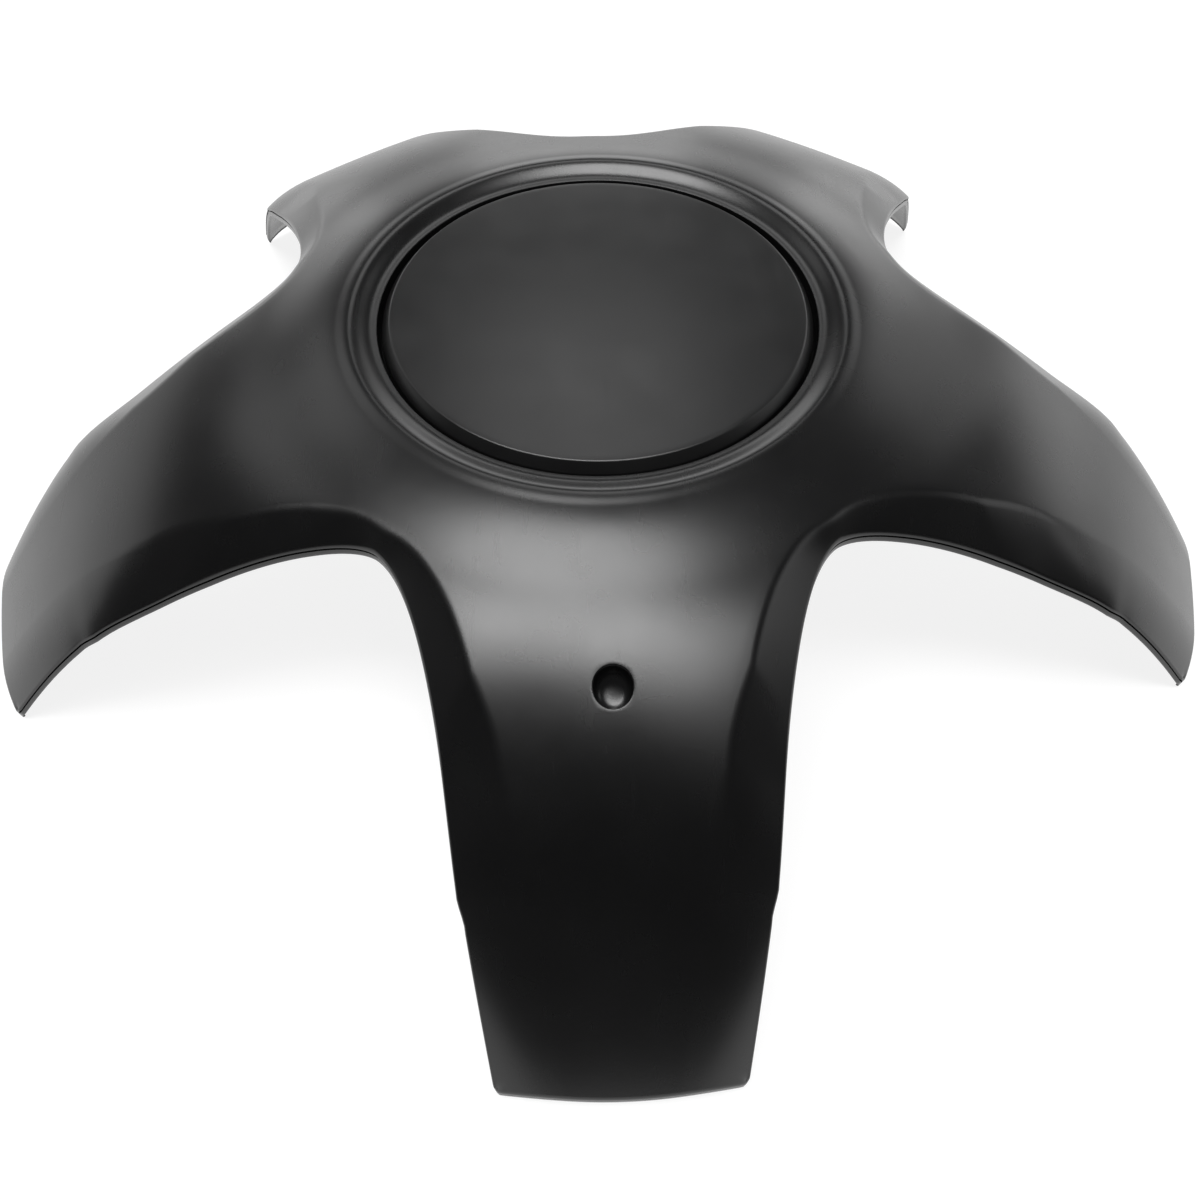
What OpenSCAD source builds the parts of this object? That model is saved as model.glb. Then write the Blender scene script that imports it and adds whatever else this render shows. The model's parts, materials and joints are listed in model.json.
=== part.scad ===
// Wheel centre cap: a moulded five-armed star cover with a dished hub, a plain round badge disc and
// a spring wire ring that spreads the snap legs in the wheel's centre bore.
// The axis is Z and the origin lies on it, in the plane of the face that seats on the wheel's hub.
// Arm 1 points along -Y. The modules work from the inner edge of the dish, and from_seat lifts them.

/* [Star outline, seen along the axis] */
// Number of arms
arm_count = 5; // [4:1:6]
// Distance from the axis to the bottom of the valley between two arms
valley_r = 65.5; // [60:0.5:72]
// How far the valley's round bottom leads out of its middle
valley_lead = 7.8; // [5:0.1:11]
// How far the arm's side leads back into the valley
side_lead = 13.2; // [8:0.1:20]
// Distance along the arm to where its side runs straight
root_along = 89.7; // [86:0.1:95]
// Half the arm's width there
root_half_w = 26.5; // [23:0.1:28]
// Distance along the arm to the knee, where the flanks run out
knee_along = 103.4; // [99:0.1:109]
// Half the arm's width at the knee
knee_half_w = 24.7; // [22:0.1:26]
// How far the outline steps in at the knee
knee_step = 1.3; // [0.4:0.1:2]
// Length of that step along the arm
knee_step_len = 5.6; // [2:0.1:7]
// Distance along the arm to the tip's corners
tip_along = 128.35; // [118:0.05:140]
// Half the tip's width
tip_half_w = 20.2; // [16:0.1:23]
// How far the middle of the tip stands out past its corners
tip_bulge = 1.85; // [0.5:0.05:4]

/* [Arm section] */
// Thickness of the moulded skin
wall = 2.2; // [1.6:0.1:3]
// How far the top face rises round the lip
hub_rise = 1.7; // [0.5:0.1:2.5]
// Distance from the lip's crest over which that rise fades
hub_fade = 18; // [10:1:22]
// Radius at which the top face starts to fall
crown_start = 39; // [34:0.5:45]
// How far the top face has fallen at the tip
arm_drop = 45.4; // [35:0.5:55]
// How late the top face falls: 2 is an even curve, more is later
crown_power = 2.31; // [2:0.01:2.6]
// Share of the round crown that is taken out of the arm's section at the knee: 1 is a flat section
section_flatness = 0.8; // [0:0.05:1]
// The same share half way from the hub to the knee
section_flatness_mid = 0.16; // [0:0.02:0.4]
// Width of the flank at the valley
flank_w_valley = 2.3; // [1.8:0.1:4]
// Width of the flank where the arm starts
flank_w_root = 6.7; // [5:0.1:9]
// Width of the flank at the knee
flank_w_knee = 11.9; // [9:0.1:14]
// Drop of the flank at the valley
flank_drop_valley = 2.4; // [1:0.1:4]
// Drop of the flank half way along the valley's side
flank_drop_side = 3.3; // [1:0.1:5]
// Drop of the flank where the arm's side runs straight
flank_drop_root = 3.8; // [1:0.1:6]
// Drop of the flank at the knee
flank_drop_knee = 2.7; // [0.5:0.1:4]
// Drop of the corner at the tip
flank_drop_tip = 3.9; // [0.5:0.1:5]
// How much the flank bends down towards the outline below the knee: 1 is straight
flank_bend = 2.2; // [1:0.1:2.6]
// Half width of the rounding along the crease between top face and flank
crease_round = 1; // [0.5:0.1:1.4]
// Height of the upright edge below the flank
edge_h = 1.9; // [1.2:0.1:2.6]
// Rounding of the skin's outer edge
edge_round = 0.8; // [0.4:0.1:1]

/* [Dish and recess] */
// Radius of the recess that holds the badge disc
recess_r = 42; // [38:0.5:44]
// Depth of the recess below the dish's inner edge
recess_depth = 3.6; // [3:0.1:5]
// Distance from the recess to the crest of the lip round the dish
lip_w = 5.1; // [4.5:0.1:6]
// Height of the lip's crest
lip_h = 1.7; // [1.6:0.05:3]
// Width of the narrow shelf between the recess and the dish's slope
shelf_w = 0.7; // [0.3:0.1:1.2]

/* [Badge disc] */
// Clearance between the badge disc and the recess wall
badge_gap = 0.8; // [0.4:0.1:1.2]
// Height of the badge disc's rim above the dish's inner edge
badge_rim_h = 0.95; // [0.5:0.05:2]
// Rise of the badge disc's face from its rim to its middle
badge_dome = 1.1; // [0.3:0.1:2]
// Width of the bevel round the badge disc's face
badge_bevel_w = 1.6; // [0.8:0.1:1.9]
// Height of that bevel
badge_bevel_h = 1.85; // [0.8:0.05:2.5]
// Thickness of the badge disc's face
badge_wall = 2; // [1.4:0.1:2.4]
// Number of pegs that hold the badge disc
peg_count = 4; // [3:1:6]
// Distance from the axis to a peg
peg_pos_r = 22; // [17:0.5:24]
// Radius of a peg
peg_r = 2; // [1.5:0.1:2.5]
// Clearance round a peg in its hole
peg_gap = 0.15; // [0.1:0.05:0.3]
// Radius of a peg's staked head
stake_r = 3.2; // [2.9:0.1:3.8]
// Height of a peg's staked head
stake_h = 1.4; // [1:0.1:2]

/* [Spigot, seating flange and snap legs] */
// Outer radius of the spigot that locates the cap in the wheel's bore
spigot_r = 38.1; // [36:0.1:39]
// Thickness of the spigot's wall
spigot_wall = 2.2; // [1.6:0.1:2.6]
// Length of the spigot below the seating face
spigot_len = 6; // [4:0.5:8]
// Depth of the seating face below the dish's inner edge
seat_depth = 26; // [20:0.5:28]
// Width of the seating face
flange_w = 3.9; // [3:0.1:5]
// Thickness of the seating flange
flange_t = 2; // [1.6:0.1:3]
// Number of gussets above the seating flange
gusset_count = 10; // [4:1:16]
// Height of a gusset
gusset_h = 8; // [5:0.5:11]
// Number of snap legs
leg_count = 6; // [4:1:7]
// Angle that one leg takes of the circle
leg_angle = 40; // [30:1:43]
// Room between the legs and the spigot's wall, for the legs to bend
leg_gap = 2.9; // [2.6:0.1:3.4]
// Thickness of a snap leg
leg_wall = 2.4; // [1.8:0.1:2.8]
// Length of the legs below the seating face
leg_len = 16; // [14:0.5:18]
// How far the barb stands out from a leg
barb_out = 1.9; // [1:0.1:2.4]
// Height of the barb's lead-in below its edge
barb_lead = 4.4; // [3.6:0.1:6]
// Height of the barb's upper slope
barb_back = 2.2; // [1.5:0.1:3]

/* [Spring ring] */
// Radius of the ring's wire
wire_r = 1.2; // [0.8:0.1:1.5]
// Clearance between the wire and the legs
wire_gap = 0.1; // [0.05:0.05:0.3]
// Angle of the opening between the ring's ends
ring_opening = 14; // [8:1:30]
// Height of the nib that keeps the wire on a leg
nib_h = 1.6; // [1:0.1:2]

/* [Stiffening ribs and blind hole] */
// Thickness of a rib
rib_t = 1.6; // [1.2:0.1:2.2]
// Distance from an arm's middle line to each lengthwise rib
rib_offset = 11.2; // [9:0.1:13]
// Depth of a lengthwise rib below the skin at the collar
rib_depth_root = 7; // [4:0.5:10]
// Depth of a lengthwise rib below the skin at its outer end
rib_depth_end = 2; // [1:0.5:4]
// Distance along the arm to the ribs' outer ends
rib_end_along = 106; // [90:1:110]
// Distance along the arm to the cross rib
cross_rib_along = 92; // [88:0.5:98]
// Distance from the axis to the blind hole in arm 1
hole_pos_r = 78.4; // [72:0.1:82]
// Radius of the blind hole
hole_r = 3.4; // [2.5:0.1:4]
// Depth of the blind hole at its middle
hole_depth = 3.8; // [3:0.1:5]
// Thickness of the cup wall round the blind hole
cup_wall = 1.8; // [1.2:0.1:2.5]

/* [Hidden] */

round_fn = 96;
small_fn = 48;
overlap = 0.6;

arm_angle = 360 / arm_count;
half_angle = arm_angle / 2;
tip_r = tip_along + tip_bulge;
floor_z = -recess_depth;
under_floor_z = floor_z - wall;
lip_r = recess_r + lip_w;
seat_z = -seat_depth;
spigot_in_r = spigot_r - spigot_wall;
leg_r = spigot_in_r - leg_gap;
leg_in_r = leg_r - leg_wall;
leg_end_z = seat_z - leg_len;

// The skin's mesh starts on this circle, under the lip's crest
skin_in_r = lip_r + 0.6;
// Distances along the arm where the section starts to flatten, and half way to the knee
flat_from = 63;
flat_mid = 83;
// Mesh lines along the valley's side, the straight side, the knee's step and the lower arm
valley_steps = 10;
side_steps = 3;
knee_steps = 3;
lower_steps = 3;
// How many of the first mesh lines start on the hub circle
hub_rows = 7;
hub_share = hub_rows / valley_steps;
// Mesh columns between the middle line and the crease, and on the flank
face_steps = 4;
flank_steps = 2;
// Distance over which the skin's thickness changes to that of its edge
edge_taper = 4;
rib_steps = 8;

function lerp(a, b, t) = a + (b - a) * t;
function clamp01(t) = max(0, min(1, t));
function smooth(t) = let (c = clamp01(t)) c * c * (3 - 2 * c);
function unit(v) = v / norm(v);
function bezier(a, b, c, d, t) =
    pow(1 - t, 3) * a + 3 * pow(1 - t, 2) * t * b + 3 * (1 - t) * t * t * c + pow(t, 3) * d;
function turn(p, angle) = [p.x * cos(angle) - p.y * sin(angle), p.x * sin(angle) + p.y * cos(angle)];

// Plan of half an arm: x runs along the arm, y across it
valley_p = valley_r * [cos(half_angle), sin(half_angle)];
root_p = [root_along, root_half_w];
knee_p = [knee_along, knee_half_w];
knee_in_p = [knee_along + knee_step_len, knee_half_w - knee_step];
knee_mark = knee_step_len / (tip_along - knee_along);
tip_p = [tip_along, tip_half_w];
side_dir = unit(knee_p - root_p);
valley_dir = [sin(half_angle), -cos(half_angle)];

function side_point(s) =
    s <= 1 ? bezier(valley_p, valley_p + valley_lead * valley_dir,
                    root_p - side_lead * side_dir, root_p, s)
    : s <= 2 ? lerp(root_p, knee_p, s - 1)
    : s <= 2 + knee_mark ? knee_step_point((s - 2) / knee_mark)
    : lerp(knee_in_p, tip_p, (s - 2 - knee_mark) / (1 - knee_mark));
function knee_step_point(t) = [knee_along + knee_step_len * t, knee_half_w - knee_step * smooth(t)];
stations = [
    for (i = [0 : valley_steps]) i / valley_steps,
    for (i = [1 : side_steps]) 1 + i / side_steps,
    for (i = [1 : knee_steps]) 2 + knee_mark * i / knee_steps,
    for (i = [1 : lower_steps]) 2 + knee_mark + (1 - knee_mark) * i / lower_steps
];
last_row = len(stations) - 1;

function flank_drop(s) = lookup(s, [[0, flank_drop_valley], [0.5, flank_drop_side],
    [1, flank_drop_root], [2, flank_drop_knee], [3, flank_drop_tip]]);
function bend(s) = lookup(s, [[1, 1], [2, flank_bend]]);
function flank_width(s) = lookup(s, [[0, flank_w_valley], [0.5, flank_w_root],
    [1, (flank_w_root + flank_w_knee) / 2], [2, flank_w_knee], [3, flank_w_knee]]);

// Height of the top face, a surface of revolution that rises round the lip and flattens across the arms
function flatness(x) = lookup(x, [[flat_from, 0], [flat_mid, section_flatness_mid],
    [knee_along, section_flatness], [tip_along, 1]]);
function crown_radius(p) = let (r = norm(p)) r - flatness(p.x) * (r - p.x);
function fall(r) = max(0, r - crown_start) / (tip_r - crown_start);
function rise(r) = hub_rise * (1 - smooth((r - lip_r) / hub_fade));
function crown_z(p) = rise(norm(p)) - arm_drop * pow(fall(crown_radius(p)), crown_power);
function crown_slope(p) =
    arm_drop * crown_power / (tip_r - crown_start) * pow(fall(crown_radius(p)), crown_power - 1);

// Share of the flank's drop at a distance inside the outline, with a rounded crease
function flank_share(d, w) =
    d >= w + crease_round ? 0
    : d > w - crease_round ? pow(w + crease_round - d, 2) / (4 * crease_round * w)
    : 1 - d / w;

// Where a station's mesh line starts: on the hub circle, then on the arm's middle line
function start_along(s) =
    s >= 1 ? side_point(s).x + tip_bulge * clamp01((side_point(s).x - knee_along) / (tip_along - knee_along))
    : lerp(skin_in_r, root_along, (s - hub_share) / (1 - hub_share));
function start_point(s) =
    s <= hub_share ? skin_in_r * [cos(half_angle * (1 - s / hub_share)), sin(half_angle * (1 - s / hub_share))]
    : [start_along(s), 0];

// Outward direction of the outline in plan, and of the corner between two of its stretches
function side_normal(s) =
    s == 0 ? [cos(half_angle), sin(half_angle)]
    : let (t = unit(side_point(min(3, s + 0.02)) - side_point(max(0, s - 0.02)))) [-t.y, t.x];
function mitre(a, b) = (a + b) / (1 + a * b);

// One mesh line from the middle of the arm to the inside of the rounded edge: [x, y, distance to the outline]
function row_point(s, j) =
    let (
        a = start_point(s),
        edge = side_point(s),
        len = norm(edge - a),
        w = flank_width(s),
        face_end = len - w - crease_round,
        d = j < face_steps ? len - face_end * j / face_steps
            : j == face_steps ? w + crease_round
            : j == face_steps + 1 ? w
            : lerp(w - crease_round, edge_round, (j - face_steps - 2) / flank_steps),
        p = edge + (a - edge) / len * d
    ) [p.x, p.y, d];
last_col = face_steps + 2 + flank_steps;

// The tip's own line is an arc through its corner and its middle
function tip_arc_along(y) = tip_along + tip_bulge * (1 - pow(y / tip_half_w, 2));
function grid_point(i, j) =
    let (s = stations[i], p = row_point(s, j))
    i < last_row ? p : [tip_arc_along(p.y) - edge_round, p.y, p.z];

function top_point(i, j) =
    let (p = grid_point(i, j), s = stations[i], q = [p.x, p.y])
    [p.x, p.y, crown_z(q) - flank_drop(s) * pow(flank_share(p.z, flank_width(s)), bend(s))];
function edge_distance(i, j) =
    let (p = grid_point(i, j)) min(p.z, i == last_row ? 0 : tip_arc_along(p.y) - p.x);
function under_point(i, j) =
    let (
        t = top_point(i, j),
        full = wall * sqrt(1 + pow(crown_slope([t.x, t.y]), 2)),
        thick = lerp(edge_h + edge_round, full, clamp01(edge_distance(i, j) / edge_taper))
    ) [t.x, t.y, t.z - thick];

// The edge runs down the side from the valley and then along the tip to its middle
edge_count = last_row + last_col + 1;
function edge_index(k) = k <= last_row ? [k, last_col] : [last_row, last_col - (k - last_row)];
function edge_out(k) =
    let (ij = edge_index(k), s = stations[ij[0]])
    k < last_row ? side_normal(s)
    : k == last_row ? mitre(side_normal(s), [1, 0])
    : [1, 0];
function edge_top(k) = let (ij = edge_index(k)) top_point(ij[0], ij[1]);
function edge_upper(k) =
    let (t = edge_top(k), o = edge_out(k)) [t.x + o.x * edge_round, t.y + o.y * edge_round, t.z - edge_round];
function edge_lower(k) = let (u = edge_upper(k)) [u.x, u.y, u.z - edge_h];

// A point of half an arm, set on the whole star; the valley and the middle line are shared by two halves
function on_star(p, arm, side, shared_valley) =
    let (
        r = norm([p.x, p.y]),
        az = arm * arm_angle + side * half_angle - 90,
        q = shared_valley ? r * [cos(az), sin(az)] : turn([p.x, side * p.y], arm * arm_angle - 90)
    ) [q.x, q.y, p.z];

// Points of one half arm in four blocks: top, underside, upper edge, lower edge
cols = last_col + 1;
rows = last_row + 1;
block = rows * cols;
half_points = [
    for (i = [0 : last_row]) for (j = [0 : last_col]) [top_point(i, j), i == 0],
    for (i = [0 : last_row]) for (j = [0 : last_col]) [under_point(i, j), i == 0],
    for (k = [0 : edge_count - 1]) [edge_upper(k), k == 0],
    for (k = [0 : edge_count - 1]) [edge_lower(k), k == 0]
];
half_size = len(half_points);

function quad(a, b, c, d) = [[a, b, c], [a, c, d]];
function flip(f, side) = side > 0 ? f : [f[2], f[1], f[0]];
function grid_index(i, j) = i * cols + j;
function ring_index(k) = let (ij = edge_index(k)) grid_index(ij[0], ij[1]);
half_faces = [
    // Top face and underside
    for (i = [0 : last_row - 1]) for (j = [0 : last_col - 1])
        each quad(grid_index(i, j), grid_index(i, j + 1), grid_index(i + 1, j + 1), grid_index(i + 1, j)),
    for (i = [0 : last_row - 1]) for (j = [0 : last_col - 1])
        each quad(block + grid_index(i, j), block + grid_index(i + 1, j),
                  block + grid_index(i + 1, j + 1), block + grid_index(i, j + 1)),
    // Rounded edge, upright edge and the narrow rim below it
    for (k = [0 : edge_count - 2]) let (u = 2 * block + k, l = u + edge_count)
        each concat(quad(ring_index(k), u, u + 1, ring_index(k + 1)),
                    quad(u, l, l + 1, u + 1),
                    quad(l, block + ring_index(k), block + ring_index(k + 1), l + 1)),
    // Inner wall on the hub circle
    for (i = [0 : hub_rows - 1])
        each quad(grid_index(i, 0), grid_index(i + 1, 0), block + grid_index(i + 1, 0), block + grid_index(i, 0))
];

module star_skin() {
    halves = [for (arm = [0 : arm_count - 1]) for (side = [-1, 1]) [arm, side]];
    points = [for (h = halves) for (p = half_points) on_star(p[0], h[0], h[1], p[1])];
    faces = [
        for (n = [0 : len(halves) - 1]) for (f = half_faces)
            flip([for (v = f) v + n * half_size], halves[n][1])
    ];
    polyhedron(points = points, faces = faces, convexity = 8);
}

// Section of the dish, its lip and the recess, as radius and height
lip_toe_r = lip_r + 1.9;
lip_toe_z = crown_z([lip_toe_r, 0]) - overlap;
hub_out_r = skin_in_r + wall;
dish_steps = 8;
lip_steps = 3;
function dish_curve(t) = bezier([recess_r + shelf_w, 0], [recess_r + shelf_w + 1.5, 0],
                                [lip_r - 1.45, lip_h], [lip_r, lip_h], t);
function lip_curve(t) = bezier([lip_r, lip_h], [lip_r + 0.7, lip_h],
                               [lip_toe_r - 0.6, lip_toe_z + 0.6], [lip_toe_r, lip_toe_z], t);
module hub() {
    rotate_extrude($fn = round_fn)
        polygon(concat(
            [[0, under_floor_z], [0, floor_z], [recess_r, floor_z], [recess_r, 0]],
            [for (i = [0 : dish_steps]) dish_curve(i / dish_steps)],
            [for (i = [1 : lip_steps]) lip_curve(i / lip_steps)],
            [[hub_out_r, lip_toe_z - 0.6], [hub_out_r, crown_z([hub_out_r, 0]) - wall - 0.3],
             [recess_r + wall, under_floor_z]]
        ));
}

// The spigot's wall with its seating flange, and the gussets above the flange
spigot_end_z = seat_z - spigot_len;
spigot_lead = 0.8;
flange_r = spigot_r + flange_w;
module spigot() {
    rotate_extrude($fn = round_fn)
        polygon([
            [spigot_in_r, under_floor_z + overlap],
            [spigot_r, under_floor_z + overlap],
            [spigot_r, seat_z + flange_t],
            [flange_r, seat_z + flange_t],
            [flange_r, seat_z],
            [spigot_r, seat_z],
            [spigot_r, spigot_end_z],
            [spigot_r - spigot_lead, spigot_end_z - spigot_lead],
            [spigot_in_r, spigot_end_z - spigot_lead]
        ]);
}
module gussets() {
    for (i = [0 : gusset_count - 1])
        rotate((i + 0.5) * 360 / gusset_count)
            rotate([90, 0, 0])
                linear_extrude(rib_t, center = true)
                    polygon([
                        [spigot_r - overlap, seat_z + overlap],
                        [flange_r - 1, seat_z + overlap],
                        [flange_r - 1, seat_z + flange_t + 1],
                        [spigot_r, seat_z + gusset_h],
                        [spigot_r - overlap, seat_z + gusset_h]
                    ]);
}

// Section of a snap leg: a straight finger with an outward barb and an inward nib
barb_edge_z = leg_end_z + barb_lead;
nib_top_z = leg_end_z + nib_h + 0.6;
nib_r = leg_in_r - wire_gap - 1.2 * wire_r;
barb_r = leg_r + barb_out;
module snap_leg() {
    rotate_extrude(angle = leg_angle, $fn = round_fn)
        polygon([
            [leg_in_r, under_floor_z + overlap],
            [leg_r, under_floor_z + overlap],
            [leg_r, barb_edge_z + barb_back],
            [barb_r, barb_edge_z],
            [barb_r, barb_edge_z - 0.8],
            [leg_r - 0.6, leg_end_z],
            [nib_r + 0.5, leg_end_z],
            [nib_r, leg_end_z + 0.6],
            [nib_r, nib_top_z],
            [leg_in_r, nib_top_z]
        ]);
}
module snap_legs() {
    for (i = [0 : leg_count - 1])
        rotate(90 + (i + 0.5) * 360 / leg_count - leg_angle / 2)
            snap_leg();
}

// Ribs under one arm that points along +X: from the spigot under the recess's corner, then along the skin
rib_start_along = spigot_r - spigot_wall / 2;
rib_neck_along = sqrt(pow(recess_r + 1, 2) - pow(rib_offset, 2));
rib_skin_along = sqrt(pow(skin_in_r, 2) - pow(rib_offset, 2));
rib_marks = concat([rib_start_along, rib_neck_along],
                   [for (i = [0 : rib_steps]) lerp(rib_skin_along, rib_end_along, i / rib_steps)]);
function rib_top(x) = (x <= rib_neck_along ? floor_z : crown_z([x, rib_offset])) - wall / 2;
function rib_low(x) =
    let (p = [max(x, rib_skin_along), rib_offset])
    crown_z(p) - wall * sqrt(1 + pow(crown_slope(p), 2))
    - lerp(rib_depth_root, rib_depth_end, (x - rib_start_along) / (rib_end_along - rib_start_along));
module lengthwise_rib() {
    last = len(rib_marks) - 1;
    rotate([90, 0, 0])
        linear_extrude(rib_t, center = true)
            polygon(concat(
                [for (i = [0 : last]) [rib_marks[i], rib_top(rib_marks[i])]],
                [for (i = [last : -1 : 0]) [rib_marks[i], rib_low(rib_marks[i])]]
            ));
}
module arm_ribs() {
    for (side = [-1, 1])
        translate([0, side * rib_offset, 0])
            lengthwise_rib();
    cross_low = rib_low(cross_rib_along) + 1;
    translate([cross_rib_along - rib_t / 2, -rib_offset, cross_low])
        cube([rib_t, 2 * rib_offset, rib_top(cross_rib_along) - cross_low - 0.3]);
}

// The blind hole's place and the cup below the skin that closes it
hole_top_z = crown_z([hole_pos_r, 0]);
hole_floor_z = hole_top_z - hole_depth;
cup_r = hole_r + cup_wall;
module hole_cup() {
    difference() {
        translate([hole_pos_r, 0, hole_floor_z - cup_wall])
            cylinder(r = cup_r, h = hole_depth + 2 * cup_wall, $fn = small_fn);
        // The cup ends inside the skin, along its slope
        translate([hole_pos_r, 0, hole_top_z - wall / 2])
            rotate([0, atan(crown_slope([hole_pos_r, 0])), 0])
                translate([-2 * cup_r, -2 * cup_r, 0])
                    cube([4 * cup_r, 4 * cup_r, 2 * cup_r]);
    }
}
module hole_cut() {
    translate([hole_pos_r, 0, hole_floor_z])
        cylinder(r = hole_r, h = hole_depth + 2 * wall, $fn = small_fn);
}

module from_seat() {
    translate([0, 0, seat_depth])
        children();
}

module cap_shell() {
    color([0.05, 0.05, 0.055])
        from_seat() difference() {
            union() {
                star_skin();
                hub();
                spigot();
                gussets();
                snap_legs();
                for (i = [0 : arm_count - 1])
                    rotate(i * arm_angle - 90)
                        arm_ribs();
                rotate(-90)
                    hole_cup();
            }
            rotate(-90)
                hole_cut();
            for (i = [0 : peg_count - 1])
                rotate((i + 0.5) * 360 / peg_count)
                    translate([peg_pos_r, 0, under_floor_z - 1])
                        cylinder(r = peg_r + peg_gap, h = wall + 2, $fn = small_fn);
        }
}

// The badge disc: a shallow domed cup, face up, on four staked pegs
badge_r = recess_r - badge_gap;
badge_face_r = badge_r - badge_bevel_w;
dome_steps = 8;
function dome_z(r) = badge_rim_h + badge_dome * (1 - pow(r / badge_face_r, 2));
module badge_body() {
    rotate_extrude($fn = round_fn)
        polygon(concat(
            [for (i = [0 : dome_steps]) let (r = badge_face_r * i / dome_steps) [r, dome_z(r)]],
            [[badge_r, badge_rim_h - badge_bevel_h], [badge_r, floor_z], [badge_r - badge_wall, floor_z],
             [badge_r - badge_wall, badge_rim_h - badge_bevel_h - 0.4],
             [badge_face_r - badge_wall, badge_rim_h - badge_wall], [0, dome_z(0) - badge_wall]]
        ));
}
module badge_pegs() {
    for (i = [0 : peg_count - 1])
        rotate((i + 0.5) * 360 / peg_count)
            translate([peg_pos_r, 0, 0]) {
                translate([0, 0, under_floor_z])
                    cylinder(r = peg_r, h = dome_z(peg_pos_r) - badge_wall / 2 - under_floor_z, $fn = small_fn);
                translate([0, 0, under_floor_z - stake_h])
                    cylinder(r = stake_r, h = stake_h, $fn = small_fn);
            }
}
module badge_disc() {
    color([0.06, 0.06, 0.065])
        from_seat() union() {
            badge_body();
            badge_pegs();
        }
}

// The spring ring: round wire in an open circle, resting on the legs' nibs, with its ends between two legs
ring_mid_r = leg_in_r - wire_gap - wire_r;
module spring_ring() {
    color([0.62, 0.63, 0.65])
        from_seat() translate([0, 0, nib_top_z + wire_r])
            rotate(90 + ring_opening / 2)
                rotate_extrude(angle = 360 - ring_opening, $fn = round_fn)
                    translate([ring_mid_r, 0])
                        circle(r = wire_r, $fn = small_fn);
}

cap_shell();
badge_disc();
spring_ring();
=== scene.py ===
"""Looks of a wheel centre cap: a satin black moulded star, its bare badge disc and the spring ring below.

Lengths inside the classes are millimetres, measured from the inner edge of the dish on the cap's axis.
Arm 1 points along -Y. Every mesh is scaled to metres and lifted to the frame's height when it is done.
"""

import json
import logging
import math
from dataclasses import dataclass, field
from enum import Enum
from typing import Callable, Iterable, Sequence

import bmesh
import bpy
from bmesh.types import BMEdge, BMesh, BMFace, BMVert
from mathutils import Matrix, Vector
from mathutils.kdtree import KDTree

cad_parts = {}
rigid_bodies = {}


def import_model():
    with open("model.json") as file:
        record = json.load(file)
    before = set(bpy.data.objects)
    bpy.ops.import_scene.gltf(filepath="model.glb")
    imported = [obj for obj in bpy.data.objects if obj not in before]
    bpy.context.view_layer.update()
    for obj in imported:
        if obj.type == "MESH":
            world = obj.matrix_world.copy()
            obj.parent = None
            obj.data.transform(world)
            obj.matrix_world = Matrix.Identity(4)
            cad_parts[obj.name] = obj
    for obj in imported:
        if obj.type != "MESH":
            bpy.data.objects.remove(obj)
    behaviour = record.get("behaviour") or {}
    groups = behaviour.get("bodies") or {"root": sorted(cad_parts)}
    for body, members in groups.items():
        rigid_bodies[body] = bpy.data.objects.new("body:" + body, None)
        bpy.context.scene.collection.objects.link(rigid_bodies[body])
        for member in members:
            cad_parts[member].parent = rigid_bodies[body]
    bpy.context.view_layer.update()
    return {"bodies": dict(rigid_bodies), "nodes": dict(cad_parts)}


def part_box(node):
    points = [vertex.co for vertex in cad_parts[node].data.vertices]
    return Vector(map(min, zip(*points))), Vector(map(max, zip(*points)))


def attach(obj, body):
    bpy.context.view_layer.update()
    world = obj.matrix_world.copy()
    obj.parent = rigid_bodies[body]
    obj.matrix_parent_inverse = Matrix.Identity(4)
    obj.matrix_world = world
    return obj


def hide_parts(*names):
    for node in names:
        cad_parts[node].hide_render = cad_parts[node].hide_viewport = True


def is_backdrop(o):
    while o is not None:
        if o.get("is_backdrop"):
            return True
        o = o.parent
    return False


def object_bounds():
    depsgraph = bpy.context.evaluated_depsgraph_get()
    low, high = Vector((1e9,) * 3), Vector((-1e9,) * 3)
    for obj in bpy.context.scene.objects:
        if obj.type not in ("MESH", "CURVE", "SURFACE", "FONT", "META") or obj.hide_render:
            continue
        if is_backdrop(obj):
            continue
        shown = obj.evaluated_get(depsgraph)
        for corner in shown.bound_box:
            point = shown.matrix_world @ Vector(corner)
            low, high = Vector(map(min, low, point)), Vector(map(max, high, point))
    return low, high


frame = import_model()

log = logging.getLogger("wheel_centre_cap")

MM = 0.001
WELD = 0.001  # millimetres between points that are one
ROUND_LEAD = 0.55  # share of a rounding's reach that its curve's handles take


# Small maths shared by the curves and surfaces


def clamp(t: float, low: float = 0.0, high: float = 1.0) -> float:
    """Return t held between low and high."""
    return max(low, min(high, t))


def lerp(a: float, b: float, t: float) -> float:
    """Return the value a share t of the way from a to b."""
    return a + (b - a) * t


def smooth(t: float) -> float:
    """Return a soft step from 0 to 1 as t goes from 0 to 1."""
    c = clamp(t)
    return c * c * (3 - 2 * c)


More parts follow.
